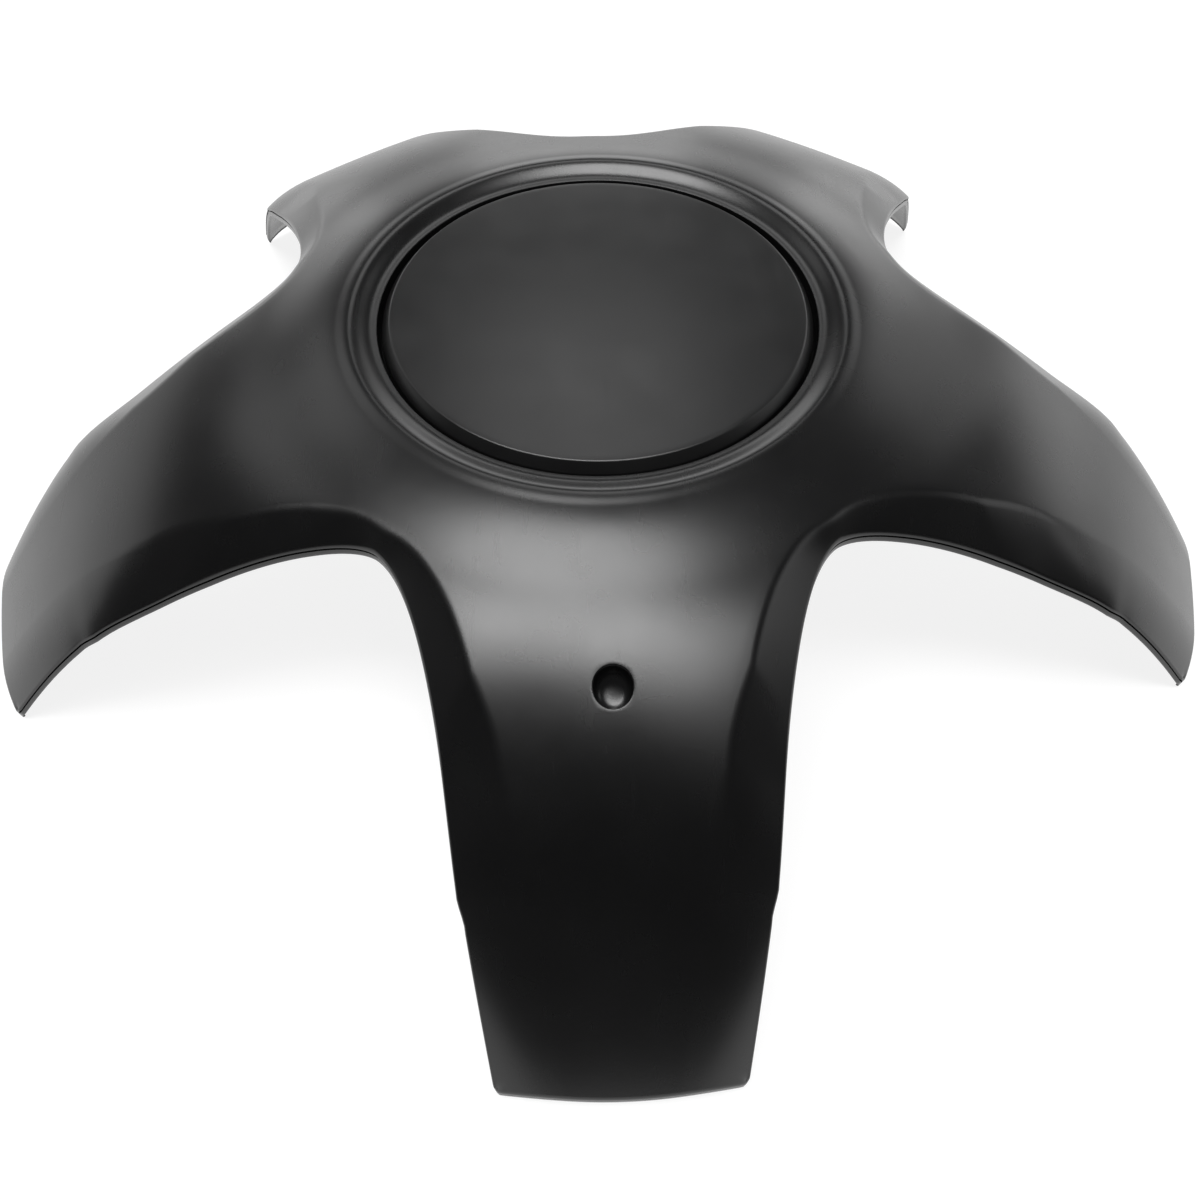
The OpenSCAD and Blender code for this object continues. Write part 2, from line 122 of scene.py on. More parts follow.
def eased(t: float, stops: Sequence[tuple[float, float]]) -> float:
    """Interpolate through a list of stops with a smooth curve.

    Args:
        t: Where to read the value.
        stops: Pairs of place and value, in rising order of place.

    Returns:
        The value at t, constant outside the first and last stop.
    """
    if t <= stops[0][0]:
        return stops[0][1]
    if t >= stops[-1][0]:
        return stops[-1][1]
    i = next(n for n in range(1, len(stops)) if t <= stops[n][0])
    (t0, v0), (t1, v1) = stops[i - 1], stops[i]
    before, after = stops[max(0, i - 2)], stops[min(len(stops) - 1, i + 1)]
    run = t1 - t0
    slope0 = (v1 - before[1]) / (t1 - before[0]) * run
    slope1 = (after[1] - v0) / (after[0] - t0) * run
    u = (t - t0) / run
    return (v0 * (2 * u**3 - 3 * u * u + 1) + slope0 * (u**3 - 2 * u * u + u)
            + v1 * (3 * u * u - 2 * u**3) + slope1 * (u**3 - u * u))


def bezier(a: Vector, b: Vector, c: Vector, d: Vector, t: float) -> Vector:
    """Return the point at t on the cubic curve from a to d with handles b and c."""
    s = 1 - t
    return a * s**3 + b * (3 * s * s * t) + c * (3 * s * t * t) + d * t**3


def polar(radius: float, degrees: float) -> Vector:
    """Return the plan point at a radius and an angle from +X."""
    return Vector((math.cos(math.radians(degrees)), math.sin(math.radians(degrees)))) * radius


# Shape of the moulding, the same curves as the solid part


@dataclass(frozen=True)
class ArmPlan:
    """Plan of half an arm: x runs along the arm's middle line, y across it.

    A station s runs along the side: 0 at the valley, 1 where the side runs straight, 2 at the knee, 3 at the tip.
    """

    arm_count: int = 5
    valley_r: float = 65.5
    valley_lead: float = 7.8
    side_lead: float = 13.2
    root_along: float = 89.7
    root_half_w: float = 26.5
    knee_along: float = 103.4
    knee_half_w: float = 24.7
    knee_step: float = 1.3
    knee_step_len: float = 5.6
    tip_along: float = 128.35
    tip_half_w: float = 20.2
    tip_bulge: float = 1.85

    @property
    def half_angle(self) -> float:
        """Half the angle between two arms, in degrees."""
        return 180 / self.arm_count

    @property
    def tip_r(self) -> float:
        """Distance from the axis to the middle of the tip."""
        return self.tip_along + self.tip_bulge

    def side(self, s: float) -> Vector:
        """Return the outline's point at station s, from the valley to the knee."""
        a = math.radians(self.half_angle)
        valley = polar(self.valley_r, self.half_angle)
        root = Vector((self.root_along, self.root_half_w))
        knee = Vector((self.knee_along, self.knee_half_w))
        straight = (knee - root).normalized()
        if s <= 1:
            leave = Vector((math.sin(a), -math.cos(a)))
            return bezier(valley, valley + leave * self.valley_lead,
                          root - straight * self.side_lead, root, s)
        return root.lerp(knee, clamp(s - 1))

    def side_normal(self, s: float) -> Vector:
        """Return the outline's outward direction at station s, from the valley to the knee."""
        if s <= 0:
            return polar(1, self.half_angle)
        ahead, behind = self.side(min(2, s + 0.01)), self.side(max(0, s - 0.01))
        t = (ahead - behind).normalized()
        return Vector((-t.y, t.x))

    def tip_arc(self, across: float) -> float:
        """Return how far along the arm the tip's edge lies at a distance across it."""
        return self.tip_along + self.tip_bulge * (1 - (across / self.tip_half_w) ** 2)


@dataclass(frozen=True)
class Crown:
    """Height of the top face, a crown round the axis that flattens across each arm.

    The flatness is the share of the round crown that is taken out of an arm's section.
    """

    start_r: float = 39.0
    drop: float = 45.4
    power: float = 2.31
    flatness: tuple[tuple[float, float], ...] = ((63, 0.0), (81, 0.16), (96, 0.5), (106, 0.9), (116, 1.0))
    hub_rise: float = 1.7
    hub_rise_r: float = 47.1
    hub_fade: float = 18.0
    tip_r: float = 130.2

    def height(self, along: float, across: float) -> float:
        """Return the height at a point of the arm's plan."""
        r = math.hypot(along, across)
        bent = r - eased(along, self.flatness) * (r - along)
        fall = max(0.0, bent - self.start_r) / (self.tip_r - self.start_r)
        rise = self.hub_rise * (1 - smooth((r - self.hub_rise_r) / self.hub_fade))
        return rise - self.drop * fall**self.power

    def slope(self, along: float, across: float) -> float:
        """Return how steeply the face falls, as a rise over run."""
        step = 0.5
        return abs(self.height(along + step, across) - self.height(along - step, across)) / (2 * step)


@dataclass(frozen=True)
class Flank:
    """The narrow face between the crease and the outline: its width, drop and rounded crease.

    It is straight near the valley and bends down towards the outline near the tip, where no crease is left.
    """

    crease_round: float = 1.0
    drops: tuple[tuple[float, float], ...] = ((0, 2.4), (0.5, 3.3), (1, 3.8), (2, 2.7), (3, 3.9))
    widths: tuple[tuple[float, float], ...] = ((0, 2.3), (0.5, 6.7), (1, 9.3), (2, 11.9))
    bends: tuple[tuple[float, float], ...] = ((0.8, 1.0), (1, 1.08), (2, 2.2), (3, 2.2))

    def width(self, s: float) -> float:
        """Return the flank's width at station s."""
        return eased(s, self.widths)

    def height(self, s: float, inside: float) -> float:
        """Return the flank's height against the crown.

        Args:
            s: Station along the side.
            inside: Distance inside the outline.

        Returns:
            Zero on the face, and the negative drop towards the outline.
        """
        width, soft = self.width(s), self.crease_round
        if inside >= width + soft:
            return 0.0
        if inside > width - soft:
            share = (width + soft - inside) ** 2 / (4 * soft * width)
        else:
            share = 1 - inside / width
        return -eased(s, self.drops) * share ** eased(s, self.bends)


@dataclass(frozen=True)
class Rim:
    """The moulding's outer edge: a rounded corner, an upright edge and a flat rim below."""

    inset: float = 0.4
    round_r: float = 0.8
    upright: float = 1.9
    foot_round: float = 0.25
    groove: float = 0.4
    corner_r: float = 0.75
    arc_steps: int = 5


# Mesh tools


class MeshMaker:
    """Turns a finished bmesh in millimetres into a Blender object in the frame."""

    def __init__(self, lift: float) -> None:
        """Keep the height of the dish's inner edge in the frame, in metres."""
        self.lift = lift

    def finish(self, bm: BMesh, name: str, smooth_angle: float = 35.0) -> bpy.types.Object:
        """Scale, lift and link a mesh.

        Args:
            bm: The mesh in millimetres. It is freed.
            name: The piece's name.
            smooth_angle: Edges sharper than this, in degrees, stay sharp.

        Returns:
            The new object.
        """
        bmesh.ops.scale(bm, vec=(MM, MM, MM), verts=bm.verts)
        bmesh.ops.translate(bm, vec=(0, 0, self.lift), verts=bm.verts)
        bmesh.ops.recalc_face_normals(bm, faces=bm.faces)
        limit = math.radians(smooth_angle)
        for edge in bm.edges:
            edge.smooth = len(edge.link_faces) == 2 and edge.calc_face_angle(0) < limit
        for face in bm.faces:
            face.smooth = True
        mesh = bpy.data.meshes.new(name)
        bm.to_mesh(mesh)
        bm.free()
        piece = bpy.data.objects.new(name, mesh)
        bpy.context.scene.collection.objects.link(piece)
        return piece


def boundary_loops(bm: BMesh) -> list[list[BMEdge]]:
    """Return the open edges of a mesh, one list for each closed loop."""
    left = {e for e in bm.edges if e.is_boundary}
    loops = []
    while left:
        edge = left.pop()
        loop, ends = [edge], list(edge.verts)
        while ends:
            vert = ends.pop()
            for other in vert.link_edges:
                if other in left:
                    left.remove(other)
                    loop.append(other)
                    ends.append(other.other_vert(vert))
        loops.append(loop)
    return loops


def plan_radius(vert: BMVert) -> float:
    """Return a vertex's distance from the axis."""
    return math.hypot(vert.co.x, vert.co.y)


def loop_radius(loop: Sequence[BMEdge]) -> float:
    """Return the smallest distance from the axis along a loop of edges."""
    return min(plan_radius(v) for e in loop for v in e.verts)


class LoopExtruder:
    """Extrudes an open loop of edges ring by ring and remembers where each vertex came from."""

    def __init__(self, bm: BMesh, loop: Sequence[BMEdge]) -> None:
        """Start from a closed loop of open edges."""
        self.bm = bm
        self.edges: list[BMEdge] = list(loop)
        self.roots: dict[BMVert, BMVert] = {v: v for e in loop for v in e.verts}

    def ring(self, place: Callable[[BMVert], Vector]) -> None:
        """Add one ring.

        Args:
            place: Gives a new vertex's position from the first loop's vertex that it grows from.
        """
        made = bmesh.ops.extrude_edge_only(self.bm, edges=self.edges)["geom"]
        verts = [g for g in made if isinstance(g, BMVert)]
        edges = [g for g in made if isinstance(g, BMEdge)]
        fresh = set(verts)
        roots: dict[BMVert, BMVert] = {}
        for vert in verts:
            for edge in vert.link_edges:
                old = edge.other_vert(vert)
                if old not in fresh and old in self.roots:
                    roots[vert] = self.roots[old]
        for vert, root in roots.items():
            vert.co = place(root)
        self.roots = roots
        self.edges = [e for e in edges if e.verts[0] in fresh and e.verts[1] in fresh]

    def cap(self) -> None:
        """Close the last ring with one face."""
        bmesh.ops.contextual_create(self.bm, geom=self.edges)


def profile_wire(bm: BMesh, points: Iterable[tuple[float, float]], closed: bool) -> list[BMVert | BMEdge]:
    """Draw a profile in the XZ plane.

    Args:
        bm: The mesh to draw in.
        points: Radius and height of each corner.
        closed: Whether the last corner joins the first.

    Returns:
        The new vertices and edges.
    """
    verts = [bm.verts.new((r, 0, z)) for r, z in points]
    ends = list(zip(verts, verts[1:])) + ([(verts[-1], verts[0])] if closed else [])
    return verts + [bm.edges.new(pair) for pair in ends]


def turned(bm: BMesh, geom: list, angle: float, steps: int, **settings: bool) -> None:
    """Spin geometry round the axis through an angle in radians."""
    bmesh.ops.spin(bm, geom=geom, cent=(0, 0, 0), axis=(0, 0, 1), angle=angle, steps=steps,
                   **settings)


def rotated(bm: BMesh, angle: float, axis: str = "Z") -> None:
    """Turn everything in a mesh by an angle in radians."""
    bmesh.ops.rotate(bm, cent=(0, 0, 0), matrix=Matrix.Rotation(angle, 3, axis), verts=bm.verts)


def everything(bm: BMesh) -> list:
    """Return all of a mesh's vertices, edges and faces."""
    return bm.verts[:] + bm.edges[:] + bm.faces[:]


def spun(bm: BMesh, points: Iterable[tuple[float, float]], steps: int, closed: bool = False) -> None:
    """Spin a profile once round the axis and weld where it meets itself.

    Args:
        bm: The mesh.
        points: Radius and height of each corner.
        steps: How many steps the turn has.
        closed: Whether the last corner joins the first.
    """
    turned(bm, profile_wire(bm, points, closed), math.tau, steps)
    bmesh.ops.remove_doubles(bm, verts=bm.verts, dist=WELD)


def arc_points(centre: tuple[float, float], radius: float, start: float, end: float,
               steps: int) -> list[tuple[float, float]]:
    """Return points on an arc.

    Args:
        centre: The arc's centre.
        radius: Its radius.
        start: First angle in degrees.
        end: Last angle in degrees.
        steps: How many steps it is cut in.

    Returns:
        steps + 1 points.
    """
    angles = [math.radians(lerp(start, end, i / steps)) for i in range(steps + 1)]
    return [(centre[0] + radius * math.cos(a), centre[1] + radius * math.sin(a)) for a in angles]


def filleted(corners: Sequence[tuple[float, float, float]], closed: bool = True,
             steps: int = 4) -> list[tuple[float, float]]:
    """Round the corners of a profile.

    Args:
        corners: Radius and height of each corner, and how far its rounding reaches along both sides.
        closed: Whether the last corner joins the first.
        steps: How many steps a rounding has.

    Returns:
        Radius and height of each point of the rounded profile.
    """
    points: list[tuple[float, float]] = []
    for i, (r, z, reach) in enumerate(corners):
        here = Vector((r, z))
        if reach <= 0 or (not closed and i in (0, len(corners) - 1)):
            points.append((r, z))
            continue
        before, after = Vector(corners[i - 1][:2]), Vector(corners[(i + 1) % len(corners)][:2])
        a = here + (before - here).normalized() * reach
        b = here + (after - here).normalized() * reach
        points += [tuple(bezier(a, a.lerp(here, ROUND_LEAD), b.lerp(here, ROUND_LEAD), b, k / steps))
                   for k in range(steps + 1)]
    return points


def soften(bm: BMesh, width: float, sharper: float = 40.0, segments: int = 3) -> None:
    """Bevel every edge that is sharper than an angle, in degrees."""
    limit = math.radians(sharper)
    edges = [e for e in bm.edges if len(e.link_faces) == 2 and e.calc_face_angle(0) > limit]
    bmesh.ops.bevel(bm, geom=edges, offset=width, segments=segments, profile=0.5, affect="EDGES",
                    clamp_overlap=True)


def plate(bm: BMesh, outline: Sequence[tuple[float, float]], thickness: float,
          across: float = 0.0) -> None:
    """Add an upright plate whose outline lies in the XZ plane.

    Args:
        bm: The mesh.
        outline: Distance along X and height of each corner.
        thickness: The plate's thickness along Y.
        across: Where its middle lies along Y.
    """
    verts = [bm.verts.new((x, across - thickness / 2, z)) for x, z in outline]
    face = bm.faces.new(verts)
    made = bmesh.ops.extrude_face_region(bm, geom=[face])["geom"]
    bmesh.ops.translate(bm, vec=(0, thickness, 0), verts=[g for g in made if isinstance(g, BMVert)])


def repeated(bm: BMesh, count: int, first: float) -> None:
    """Turn everything in a mesh to a first angle and repeat it evenly round the axis.

    Args:
        bm: The mesh.
        count: How many copies there are in all.
        first: Angle of the first copy from +X, in degrees.
    """
    rotated(bm, math.radians(first))
    turned(bm, everything(bm), math.tau * (count - 1) / count, count - 1, use_duplicate=True)


# The moulding's visible side


@dataclass
class StarSkin:
    """The star's skin: top face, flanks, rim and underside, with the dish, the recess and the blind hole."""

    plan: ArmPlan = field(default_factory=ArmPlan)
    crown: Crown = field(default_factory=Crown)
    flank: Flank = field(default_factory=Flank)
    rim: Rim = field(default_factory=Rim)
    wall: float = 2.2
    edge_taper: float = 4.0
    start_r: float = 53.0
    hub_share: float = 0.8
    hub_rows: int = 26
    fan_rows: int = 14
    straight_rows: int = 8
    lower_rows: int = 22
    knee_blend: float = 0.55
    face_cols: int = 14
    crease_cols: int = 6
    flank_cols: int = 9
    recess_r: float = 42.0
    recess_depth: float = 3.6
    recess_round: float = 0.2
    shelf_w: float = 0.7
    lip_r: float = 47.1
    lip_h: float = 1.7
    lip_step_w: float = 2.5
    step_rings: int = 9
    dish_rings: int = 14
    hub_rings: tuple[float, ...] = (52.0, 51.2, 50.4)
    floor_rings: tuple[float, ...] = (30.0, 15.0, 5.0)
    under_start_r: float = 51.5
    under_foot_r: float = 49.9
    under_rings: tuple[float, ...] = (36.0, 20.0, 8.0)
    hole_r: float = 3.1
    hole_along: float = 78.4
    hole_depth: float = 3.8
    hole_round: float = 0.25
    hole_block: float = 6.0
    hole_bowl: float = 3.1
    hole_fullness: float = 2.8
    hole_sleeve: float = 0.5
    hole_foot: float = 5.1
    mouth_blends: tuple[float, ...] = (0.35, 0.65, 0.88, 1.0)
    sleeve_blends: tuple[float, ...] = (0.4, 0.75, 1.0)
    valley_end_r: float = 85.0
    valley_edge_rows: int = 2
    valley_strips: tuple[float, ...] = (7.0, 7.0, 5.5, 5.5, 4.0, 4.0, 2.8, 2.8, 1.6, 1.6)

    def rows(self) -> list[float]:
        """Return the stations of the mesh lines from the valley to the knee."""
        hub = [self.hub_share * i / self.hub_rows for i in range(self.hub_rows)]
        fan = [lerp(self.hub_share, 1, i / self.fan_rows) for i in range(self.fan_rows)]
        straight = [1 + i / self.straight_rows for i in range(self.straight_rows + 1)]
        return hub + fan + straight

    def start(self, s: float) -> Vector:
        """Return where the mesh line of station s starts: on the hub circle or on the arm's middle line."""
        if s < self.hub_share:
            return polar(self.start_r, self.plan.half_angle * (1 - s / self.hub_share))
        if s <= 1:
            share = (s - self.hub_share) / (1 - self.hub_share)
            return Vector((lerp(self.start_r, self.plan.root_along, share), 0))
        return Vector((self.plan.side(s).x, 0))

    def column(self, length: float, width: float, j: int) -> float:
        """Return the distance inside the outline of mesh column j.

        Args:
            length: The mesh line's length.
            width: The flank's width there.
            j: The column, from 0 at the line's start.

        Returns:
            The distance from the outline.
        """
        soft = self.flank.crease_round
        if j <= self.face_cols:
            return lerp(length, width + soft, j / self.face_cols)
        j -= self.face_cols
        if j <= self.crease_cols:
            return lerp(width + soft, width - soft, j / self.crease_cols)
        left = 1 - (j - self.crease_cols) / self.flank_cols
        return lerp(self.rim.inset, width - soft, left * left)

    @property
    def last_col(self) -> int:
        """The outermost mesh column."""
        return self.face_cols + self.crease_cols + self.flank_cols

    def upper_point(self, s: float, j: int) -> Vector:
        """Return a mesh point between the valley and the knee."""
        start, edge = self.start(s), self.plan.side(s)
        inner = edge - self.plan.side_normal(s) * self.rim.inset
        length = (edge - start).length
        inside = self.column(length, self.flank.width(s), j)
        share = (length - inside) / (length - self.rim.inset)
        p = start.lerp(inner, share)
        return Vector((p.x, p.y, self.crown.height(p.x, p.y) + self.flank.height(s, inside)))

    def tip_point(self, j: int) -> Vector:
        """Return the plan point of column j on the tip's edge, with its distance inside the outline as z."""
        half = self.plan.tip_half_w
        inside = self.column(half, self.flank.width(3), j)
        across = half - inside
        return Vector((self.plan.tip_arc(across) - self.rim.inset, across, inside))

    def lower_point(self, t: float, j: int) -> Vector:
        """Return a mesh point between the knee and the tip.

        Args:
            t: Share of the way from the knee to the tip.
            j: The mesh column.

        Returns:
            The point in arm coordinates.
        """
        plan = self.plan
        knee = Vector((plan.knee_along, plan.knee_half_w))
        below = Vector((plan.knee_along + plan.knee_step_len, plan.knee_half_w - plan.knee_step))
        corner = Vector((plan.tip_along, plan.tip_half_w))
        along = lerp(plan.knee_along, plan.tip_along, t)
        if along < below.x:
            half = lerp(knee.y, below.y, smooth((along - knee.x) / plan.knee_step_len))
        else:
            half = lerp(below.y, corner.y, (along - below.x) / (corner.x - below.x))
        tip = self.tip_point(j)
        inside = self.column(half, self.flank.width(2 + t), j)
        across = half - inside
        x = lerp(plan.knee_along, tip.x, t)
        return Vector((x, across, self.crown.height(x, across) + self.flank.height(2 + t, inside)))

    def lower_shares(self) -> list[float]:
        """Return the lower arm's mesh lines as shares of its length, closer together across the knee's step."""
        step = self.plan.knee_step_len / (self.plan.tip_along - self.plan.knee_along)
        close = [step * k / 5 for k in range(1, 6)]
        rest = [lerp(1, step, (1 - k / self.lower_rows) ** 2) for k in range(1, self.lower_rows + 1)]
        return close + rest

    def half_arm(self, bm: BMesh) -> None:
        """Lay a grid over half an arm and set each vertex on the moulding's surface."""
        upper, lower = self.rows(), self.lower_shares()
        count = len(upper) + len(lower)
        made = bmesh.ops.create_grid(bm, x_segments=count - 1, y_segments=self.last_col, size=1)["verts"]
        for vert in made:
            i = round((vert.co.x + 1) / 2 * (count - 1))
            j = round((vert.co.y + 1) / 2 * self.last_col)
            if i < len(upper):
                vert.co = self.upper_point(upper[i], j)
            else:
                vert.co = self.lower_point(lower[i - len(upper)], j)

    def round_tip_corner(self, bm: BMesh) -> None:
        """Pull the tip's sharp corner in to a round one."""
        r = self.rim.corner_r
        plan = self.plan
        corner = Vector((plan.tip_along - self.rim.inset, plan.tip_half_w - self.rim.inset))
        for vert in bm.verts:
            a, b = corner.x - vert.co.x, corner.y - vert.co.y
            gap = Vector((r - a, r - b))
            if a < r and b < r:
                gap *= max(gap) / gap.length
                vert.co.x, vert.co.y = corner.x - r + gap.x, corner.y - r + gap.y

    def star(self, bm: BMesh) -> None:
        """Mirror the half arm and repeat it round the axis."""
        bmesh.ops.remove_doubles(bm, verts=bm.verts, dist=WELD)
        bmesh.ops.mirror(bm, geom=everything(bm), axis="Y", merge_dist=WELD)
        repeated(bm, self.plan.arm_count, -90)
        bmesh.ops.remove_doubles(bm, verts=bm.verts, dist=10 * WELD)

    def valley_gap(self, vert: BMVert) -> float:
        """Return a vertex's distance in plan from the middle line of the nearest valley."""
        pitch = math.tau / self.plan.arm_count
        turn = (math.atan2(vert.co.y, vert.co.x) + math.pi / 2) % pitch
        return plan_radius(vert) * math.sin(abs(turn - pitch / 2))

    def soften_valleys(self, bm: BMesh) -> None:
        """Smooth the narrow strips where the flanks of two arms run into each other."""
        edge = {v for v in bm.verts if v.is_boundary}
        for _ in range(self.valley_edge_rows):
            edge |= {e.other_vert(v) for v in edge for e in v.link_edges}
        for reach in self.valley_strips:
            near = [v for v in bm.verts if v not in edge and self.valley_gap(v) < reach
                    and plan_radius(v) < self.valley_end_r]
            bmesh.ops.smooth_vert(bm, verts=near, factor=0.5, use_axis_x=True, use_axis_y=True,
                                  use_axis_z=True)

    def hub_profile(self) -> list[tuple[float, float]]:
        """Return the rings from the hub circle in over the lip, down the dish and into the recess."""
        foot_r = self.lip_r + self.lip_step_w
        foot, crest = Vector((foot_r, self.crown.height(foot_r, 0))), Vector((self.lip_r, self.lip_h))
        outer = [(r, self.crown.height(r, 0)) for r in (*self.hub_rings, foot_r + 0.3)]
        step = [bezier(foot, foot + Vector((-0.9, 0.15)), crest + Vector((0.9, 0)), crest,
                       k / self.step_rings) for k in range(self.step_rings + 1)]
        shelf = Vector((self.recess_r + self.shelf_w, 0.03))
        slope = [bezier(crest, crest + Vector((-1.45, 0)), shelf + Vector((1.5, 0)), shelf,
                        k / self.dish_rings) for k in range(1, self.dish_rings + 1)]
        round_r = self.recess_round
        corner = arc_points((self.recess_r + round_r, -round_r), round_r, 90, 180, 4)
        floor_z = -self.recess_depth
        floor = [(self.recess_r - 0.05, floor_z + 0.3), (self.recess_r - 0.35, floor_z),
                 *((r, floor_z) for r in self.floor_rings)]
        return outer + [tuple(p) for p in step + slope] + corner + floor

    def draw_in(self, bm: BMesh, loop: Sequence[BMEdge], profile: Iterable[tuple[float, float]]) -> None:
        """Draw a loop in through the radii and heights of a profile, and close it."""
        grow = LoopExtruder(bm, loop)
        for radius, height in profile:
            grow.ring(lambda root, r=radius, z=height: Vector(
                (root.co.x * r / plan_radius(root), root.co.y * r / plan_radius(root), z)))
        grow.cap()

    def add_hub(self, bm: BMesh) -> None:
        """Draw the inner loop in, ring by ring, to the recess floor and close it."""
        inner = sorted(boundary_loops(bm), key=loop_radius)[:2]
        upper = max(inner, key=lambda loop: sum(e.verts[0].co.z for e in loop) / len(loop))
        self.draw_in(bm, upper, self.hub_profile())

    def add_hub_underside(self, bm: BMesh) -> None:
        """Draw the underside's inner loop in below the dish and close it under the recess floor."""
        under_z = -self.recess_depth - self.wall
        corner_r = self.recess_r + self.wall
        foot_z = self.crown.height(self.under_foot_r, 0) - self.wall - 0.3
        outer_z = self.crown.height(self.under_start_r, 0) - self.wall
        corners = [(self.under_start_r, outer_z, 0), (self.under_foot_r, foot_z, 0.8),
                   (corner_r, under_z, 1.2), *((r, under_z, 0) for r in self.under_rings)]
        self.draw_in(bm, min(boundary_loops(bm), key=loop_radius), filleted(corners, closed=False))

    @property
    def hole_centre(self) -> Vector:
        """The blind hole's place in plan."""
        return Vector((0, -self.hole_along))

    def hole_height(self, x: float, y: float) -> float:
        """Return the top face's height at a point near the blind hole in arm 1."""
        return self.crown.height(-y, x)

    def in_hole_block(self, p: Vector, depth: float) -> bool:
        """Tell whether a point a depth below arm 1's face lies in the block that the hole is cut from."""
        size = self.hole_block
        if abs(p.x) > size or abs(p.y + self.hole_along) > size:
            return False
        return abs(p.z + depth - self.hole_height(p.x, p.y)) < self.wall / 3

    def open_block(self, bm: BMesh, depth: float) -> LoopExtruder:
        """Cut the block out of the face or, a wall lower, out of the underside.

        Args:
            bm: The mesh.
            depth: The cut surface's depth below the face.

        Returns:
            An extruder on the block's edge.
        """
        block = [f for f in bm.faces if self.in_hole_block(f.calc_center_median(), depth)]
        bmesh.ops.delete(bm, geom=block, context="FACES")
        return LoopExtruder(bm, min(boundary_loops(bm), key=lambda loop: max(
            (Vector(v.co[:2]) - self.hole_centre).length for e in loop for v in e.verts)))

    def hole_point(self, root: BMVert, radius: float, blend: float, down: float) -> Vector:
        """Return a point a depth below the face, a share of the way from a vertex to a circle."""
        away = Vector(root.co[:2]) - self.hole_centre
        p = self.hole_centre + away.lerp(away.normalized() * radius, blend)
        return Vector((p.x, p.y, self.hole_height(p.x, p.y) - down))

    def add_hole_sleeve(self, bm: BMesh) -> None:
        """Lead the underside round the hole, inside the cup's wall and floor."""
        upright = self.wall * math.hypot(1, self.crown.slope(self.hole_along, 0))
        grow = self.open_block(bm, upright)
        radius = self.hole_r + self.hole_sleeve
        for blend in self.sleeve_blends:
            grow.ring(lambda root, b=blend: self.hole_point(root, radius, b, upright))
        foot_z = self.crown.height(self.hole_along, 0) - self.hole_foot
        grow.ring(lambda root: Vector((*self.hole_point(root, radius, 1.0, 0)[:2], foot_z)))
        grow.cap()

    def add_hole(self, bm: BMesh) -> None:
        """Cut a block out of arm 1's face, close in on the hole's mouth, and go down to its floor."""
        grow = self.open_block(bm, 0.0)
        edge = self.hole_round
        rings = [(self.hole_r + edge, blend, 0.0) for blend in self.mouth_blends]
        for turn in (math.radians(22.5 * k) for k in range(1, 5)):
            rings.append((self.hole_r + edge * (1 - math.sin(turn)), 1.0, edge * (1 - math.cos(turn))))
        power = 2 / self.hole_fullness
        for turn in (math.radians(8 * k) for k in range(1, 12)):
            radius = self.hole_r * math.cos(turn) ** power
            rings.append((radius, 1.0, lerp(edge, self.hole_bowl, math.sin(turn) ** power)))
        for radius, blend, down in rings:
            grow.ring(lambda root, r=radius, b=blend, d=down: self.hole_point(root, r, b, d))
        grow.cap()

    def outward(self, loop: Sequence[BMEdge]) -> dict[BMVert, Vector]:
        """Return each loop vertex's outward direction in plan, lengthened at corners.

        Args:
            loop: The outline's edges, each with one face.

        Returns:
            The direction for each vertex.
        """
        sums: dict[BMVert, list[Vector]] = {}
        for edge in loop:
            a, b = (Vector(v.co[:2]) for v in edge.verts)
            mid = Vector(edge.link_faces[0].calc_center_median()[:2])
            along = (b - a).normalized()
            side = Vector((along.y, -along.x))
            if side.dot((a + b) / 2 - mid) < 0:
                side.negate()
            for vert in edge.verts:
                sums.setdefault(vert, []).append(side)
        return {v: (n[0] + n[-1]) / max(0.35, 1 + n[0].dot(n[-1])) if len(n) > 1 else n[0]
                for v, n in sums.items()}

    def edge_slopes(self, away: dict[BMVert, Vector]) -> dict[BMVert, float]:
        """Return the angle by which the face falls outward at each outline vertex, in radians."""
        slopes: dict[BMVert, float] = {}
        for vert, out in away.items():
            best = 0.0
            fall = 0.0
            for edge in vert.link_edges:
                other = edge.other_vert(vert)
                if other in away:
                    continue
                run = Vector(vert.co[:2]) - Vector(other.co[:2])
                inward = run.normalized().dot(out.normalized())
                if inward > best:
                    best = inward
                    fall = math.atan2(other.co.z - vert.co.z, run.dot(out.normalized()))
            slopes[vert] = clamp(fall, 0.0, math.radians(60))
        return slopes

    def thickness(self, vert: BMVert, edge_gap: float) -> float:
        """Return the skin's upright thickness at a point.

        Args:
            vert: A vertex of the top face.
            edge_gap: Its distance from the outline.

        Returns:
            The thickness along the axis.
        """
        angle = math.degrees(math.atan2(vert.co.y, vert.co.x)) + 90
        pitch = 360 / self.plan.arm_count
        off = math.radians((angle + pitch / 2) % pitch - pitch / 2)
        r = plan_radius(vert)
        slope = self.crown.slope(r * math.cos(off), r * math.sin(off))
        full = self.wall * math.hypot(1, slope)
        return lerp(self.rim.upright + self.rim.round_r, full, clamp(edge_gap / self.edge_taper))

    def add_rim(self, bm: BMesh) -> dict[BMVert, float]:
        """Round the outline over and draw it down to the flat rim.

        Args:
            bm: The mesh with the star's top face.

        Returns:
            The height of the rim's underside below each vertex of the outline.
        """
        outline = max(boundary_loops(bm), key=len)
        log.info("star outline: %d edges", len(outline))
        away = self.outward(outline)
        slopes = self.edge_slopes(away)
        rim = self.rim
        start = {v: v.co.copy() for v in away}
        grow = LoopExtruder(bm, outline)

        def profile(root: BMVert, out: float, down: float) -> Vector:
            """Return a point that lies out and down from a vertex of the outline."""
            d = away[root]
            return start[root] + Vector((d.x * out, d.y * out, -down))

        reach = rim.inset

